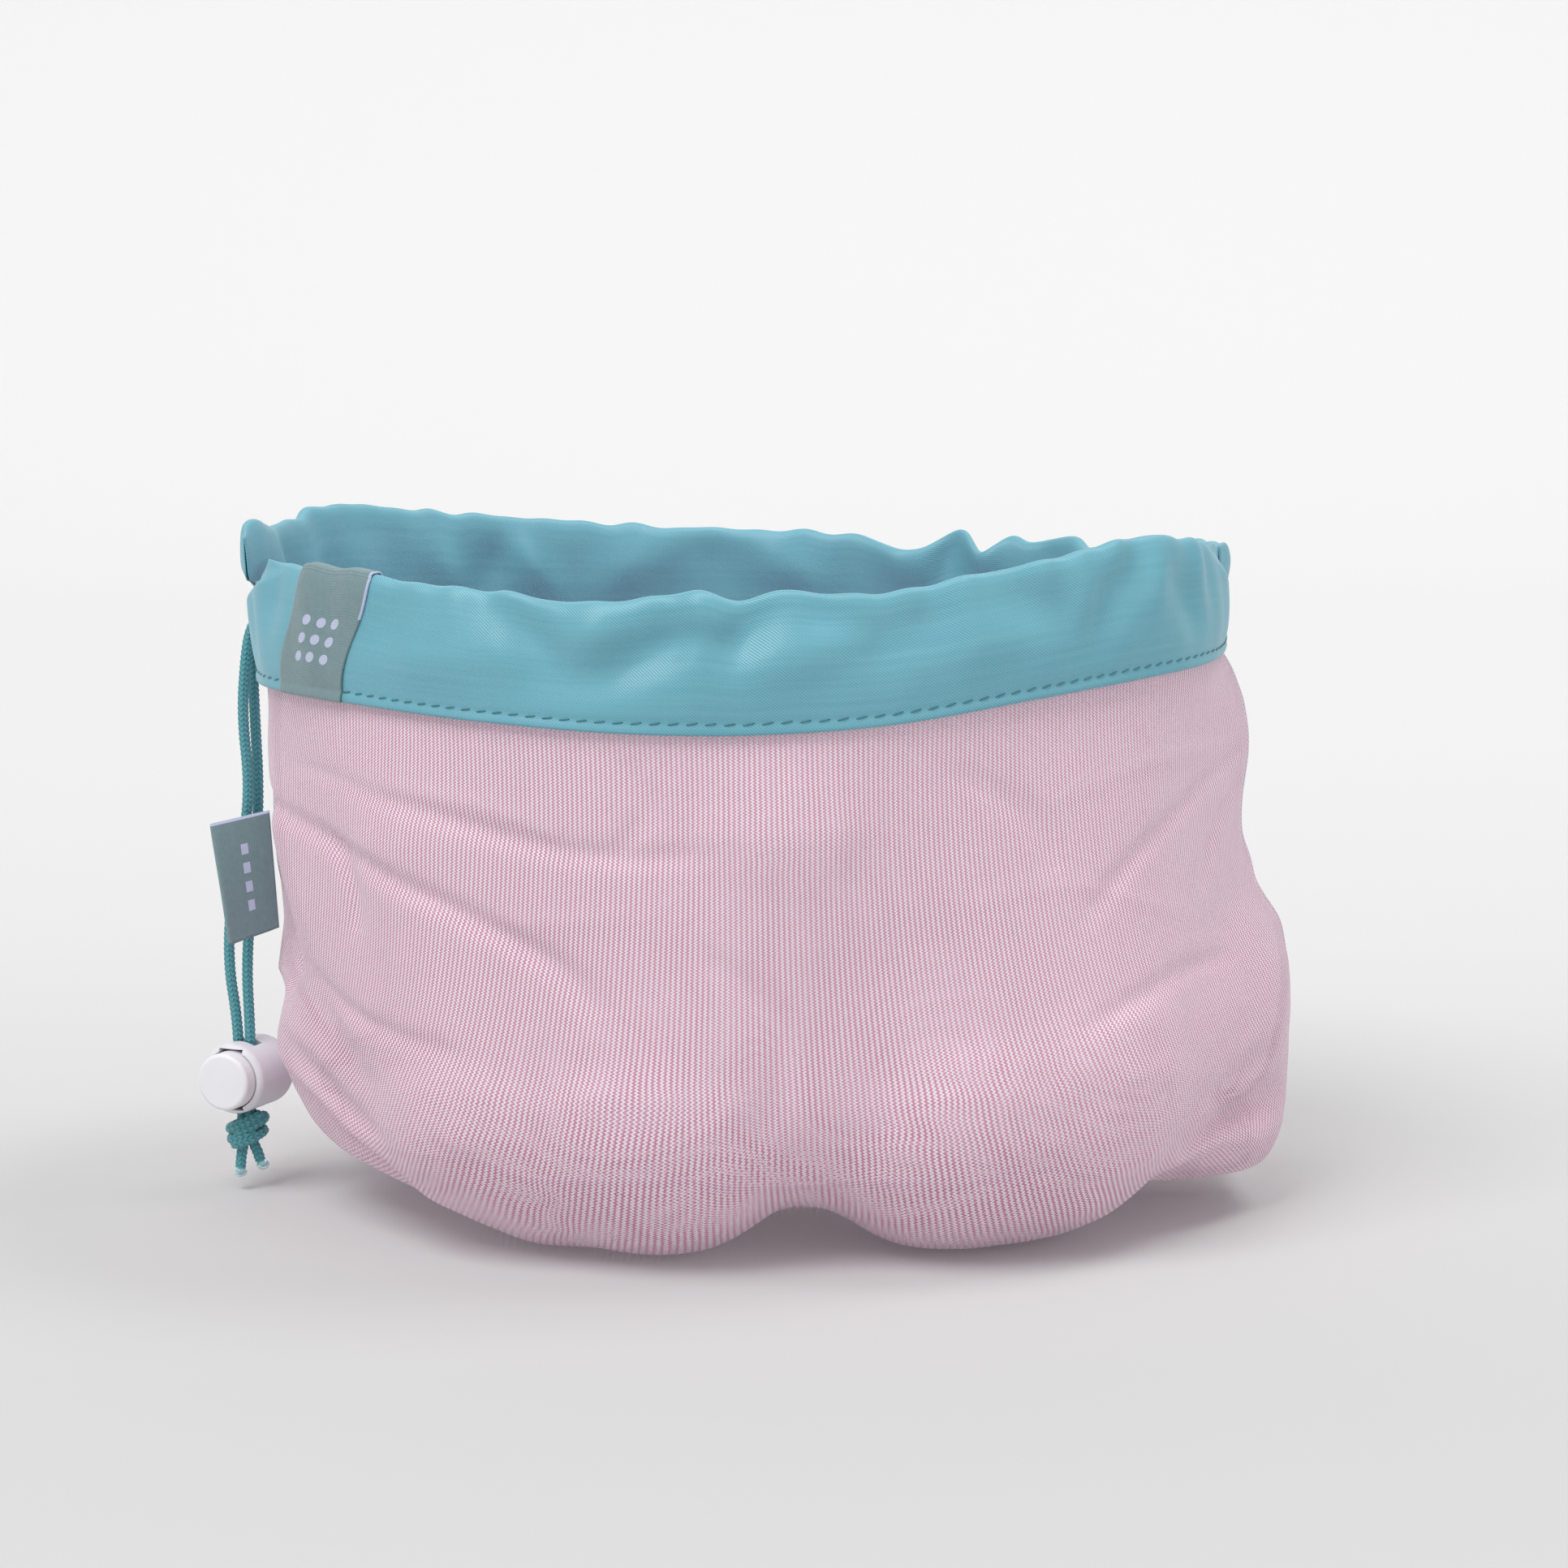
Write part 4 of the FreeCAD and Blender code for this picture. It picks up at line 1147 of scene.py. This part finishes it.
def stage():
    """A pale floor that turns up into a paler backdrop, behind any camera that goes round the bag; the
    paling up the backdrop is painted light.
    """
    bend, radius = 1.05, 0.40
    turn = np.linspace(0, math.pi / 2, 40)
    curve = zip(bend + radius * np.sin(turn), radius - radius * np.cos(turn))
    profile = [(-3.0, 0.0), (-1.0, 0.0), *curve, (bend + radius, 3.0)]
    across = np.array([-4.0, 4.0])
    points = np.array([[(x, y, z) for x in across] for y, z in profile])
    m = Nodes("backdrop")
    split = m.node("ShaderNodeSeparateXYZ")
    m.tree.links.new(m.node("ShaderNodeTexCoord").outputs["Object"], split.inputs[0])
    # Painted light: the colour by the way back and up, in metres, darker on the floor in front and paler up
    # the backdrop.
    painted_light_stops = [(-0.15, 0.60), (0.0, 0.625), (0.28, 0.72), (0.64, 0.79), (1.02, 0.835), (1.65, 0.86)]
    low, high = -0.4, 2.0
    way = m.math("ADD", split.outputs["Y"], split.outputs["Z"])
    ramp = m.node("ShaderNodeValToRGB")
    m.put(ramp.inputs[0], m.math("DIVIDE", m.math("SUBTRACT", way, low), high - low))
    stops = ramp.color_ramp.elements
    while len(stops) < len(painted_light_stops):
        stops.new(0.5)
    for stop, (at, pale) in zip(stops, painted_light_stops):
        stop.position = (at - low) / (high - low)
        stop.color = (pale, pale, pale, 1)
    m.set(Base_Color=ramp.outputs[0], Roughness=0.9, Specular_IOR_Level=0.1)
    piece_from_grid("backdrop", points, m.material)


def area_light(name, at, to, size, power):
    data = bpy.data.lights.new(name, "AREA")
    data.shape, data.size, data.energy = "SQUARE", size, power
    aim(linked(name, data), at, to)


def lights():
    world = bpy.data.worlds.new("studio")
    world.use_nodes = True
    background = world.node_tree.nodes["Background"]
    background.inputs["Color"].default_value = (1.0, 1.0, 1.0, 1)
    background.inputs["Strength"].default_value = 0.52
    bpy.context.scene.world = world
    area_light("key", (-0.95, -1.30, 2.3), (0, 0, 0.07), 1.5, 44.0)
    area_light("fill", (2.0, -1.7, 0.8), (0, 0, 0.06), 1.5, 6.0)
    area_light("back", (1.0, 0.20, 2.0), (0, 0, 0.05), 0.8, 12.0)


stage()
lights()
bpy.context.scene.view_settings.view_transform = "Standard"

# ---------------- bodies and CAD parts

# Each piece, the body that it rides on, its material slot and the CAD node that it stands for
for piece, body, slot, node in (
    (net_front, "bag", "net", "mesh_front_panel"),
    (net_back, "bag", "net", "mesh_back_panel"),
    (seam_left, "bag", "net", "left_side_seam"),
    (seam_right, "bag", "net", "right_side_seam"),
    (seam_bottom, "bag", "net", "bottom_seam"),
    (band_front, "bag", "satin", "channel_band_front"),
    (band_back, "bag", "satin", "channel_band_back"),
    (stitches, "bag", "thread", "channel_stitching"),
    (label_piece, "bag", "woven_tape", "rim_label"),
    (loop_piece, "bag", "cord", "drawstring_loop"),
    (tag_piece, "side_tag", "woven_tape", "side_tag"),
    (cord_front, "drawstring_ends", "cord", "drawstring_tail_front"),
    (cord_back, "drawstring_ends", "cord", "drawstring_tail_back"),
    (knot_wraps[0], "drawstring_ends", "cord", "drawstring_knot"),
    (knot_wraps[1], "drawstring_ends", "cord", None),
    (end_front, "drawstring_ends", "cord", "drawstring_end_front"),
    (end_back, "drawstring_ends", "cord", "drawstring_end_back"),
    (tip_front, "drawstring_ends", "melted_cord", "cord_tips"),
    (tip_back, "drawstring_ends", "melted_cord", None),
    (spring, "cord_lock", "spring_steel", "cord_lock_spring"),
):
    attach(piece, body)
    if node:
        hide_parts(node)

recolour("cord_lock_housing", LOCK_BODY)
recolour("cord_lock_plunger", LOCK_BUTTON)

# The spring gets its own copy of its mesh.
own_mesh(spring)
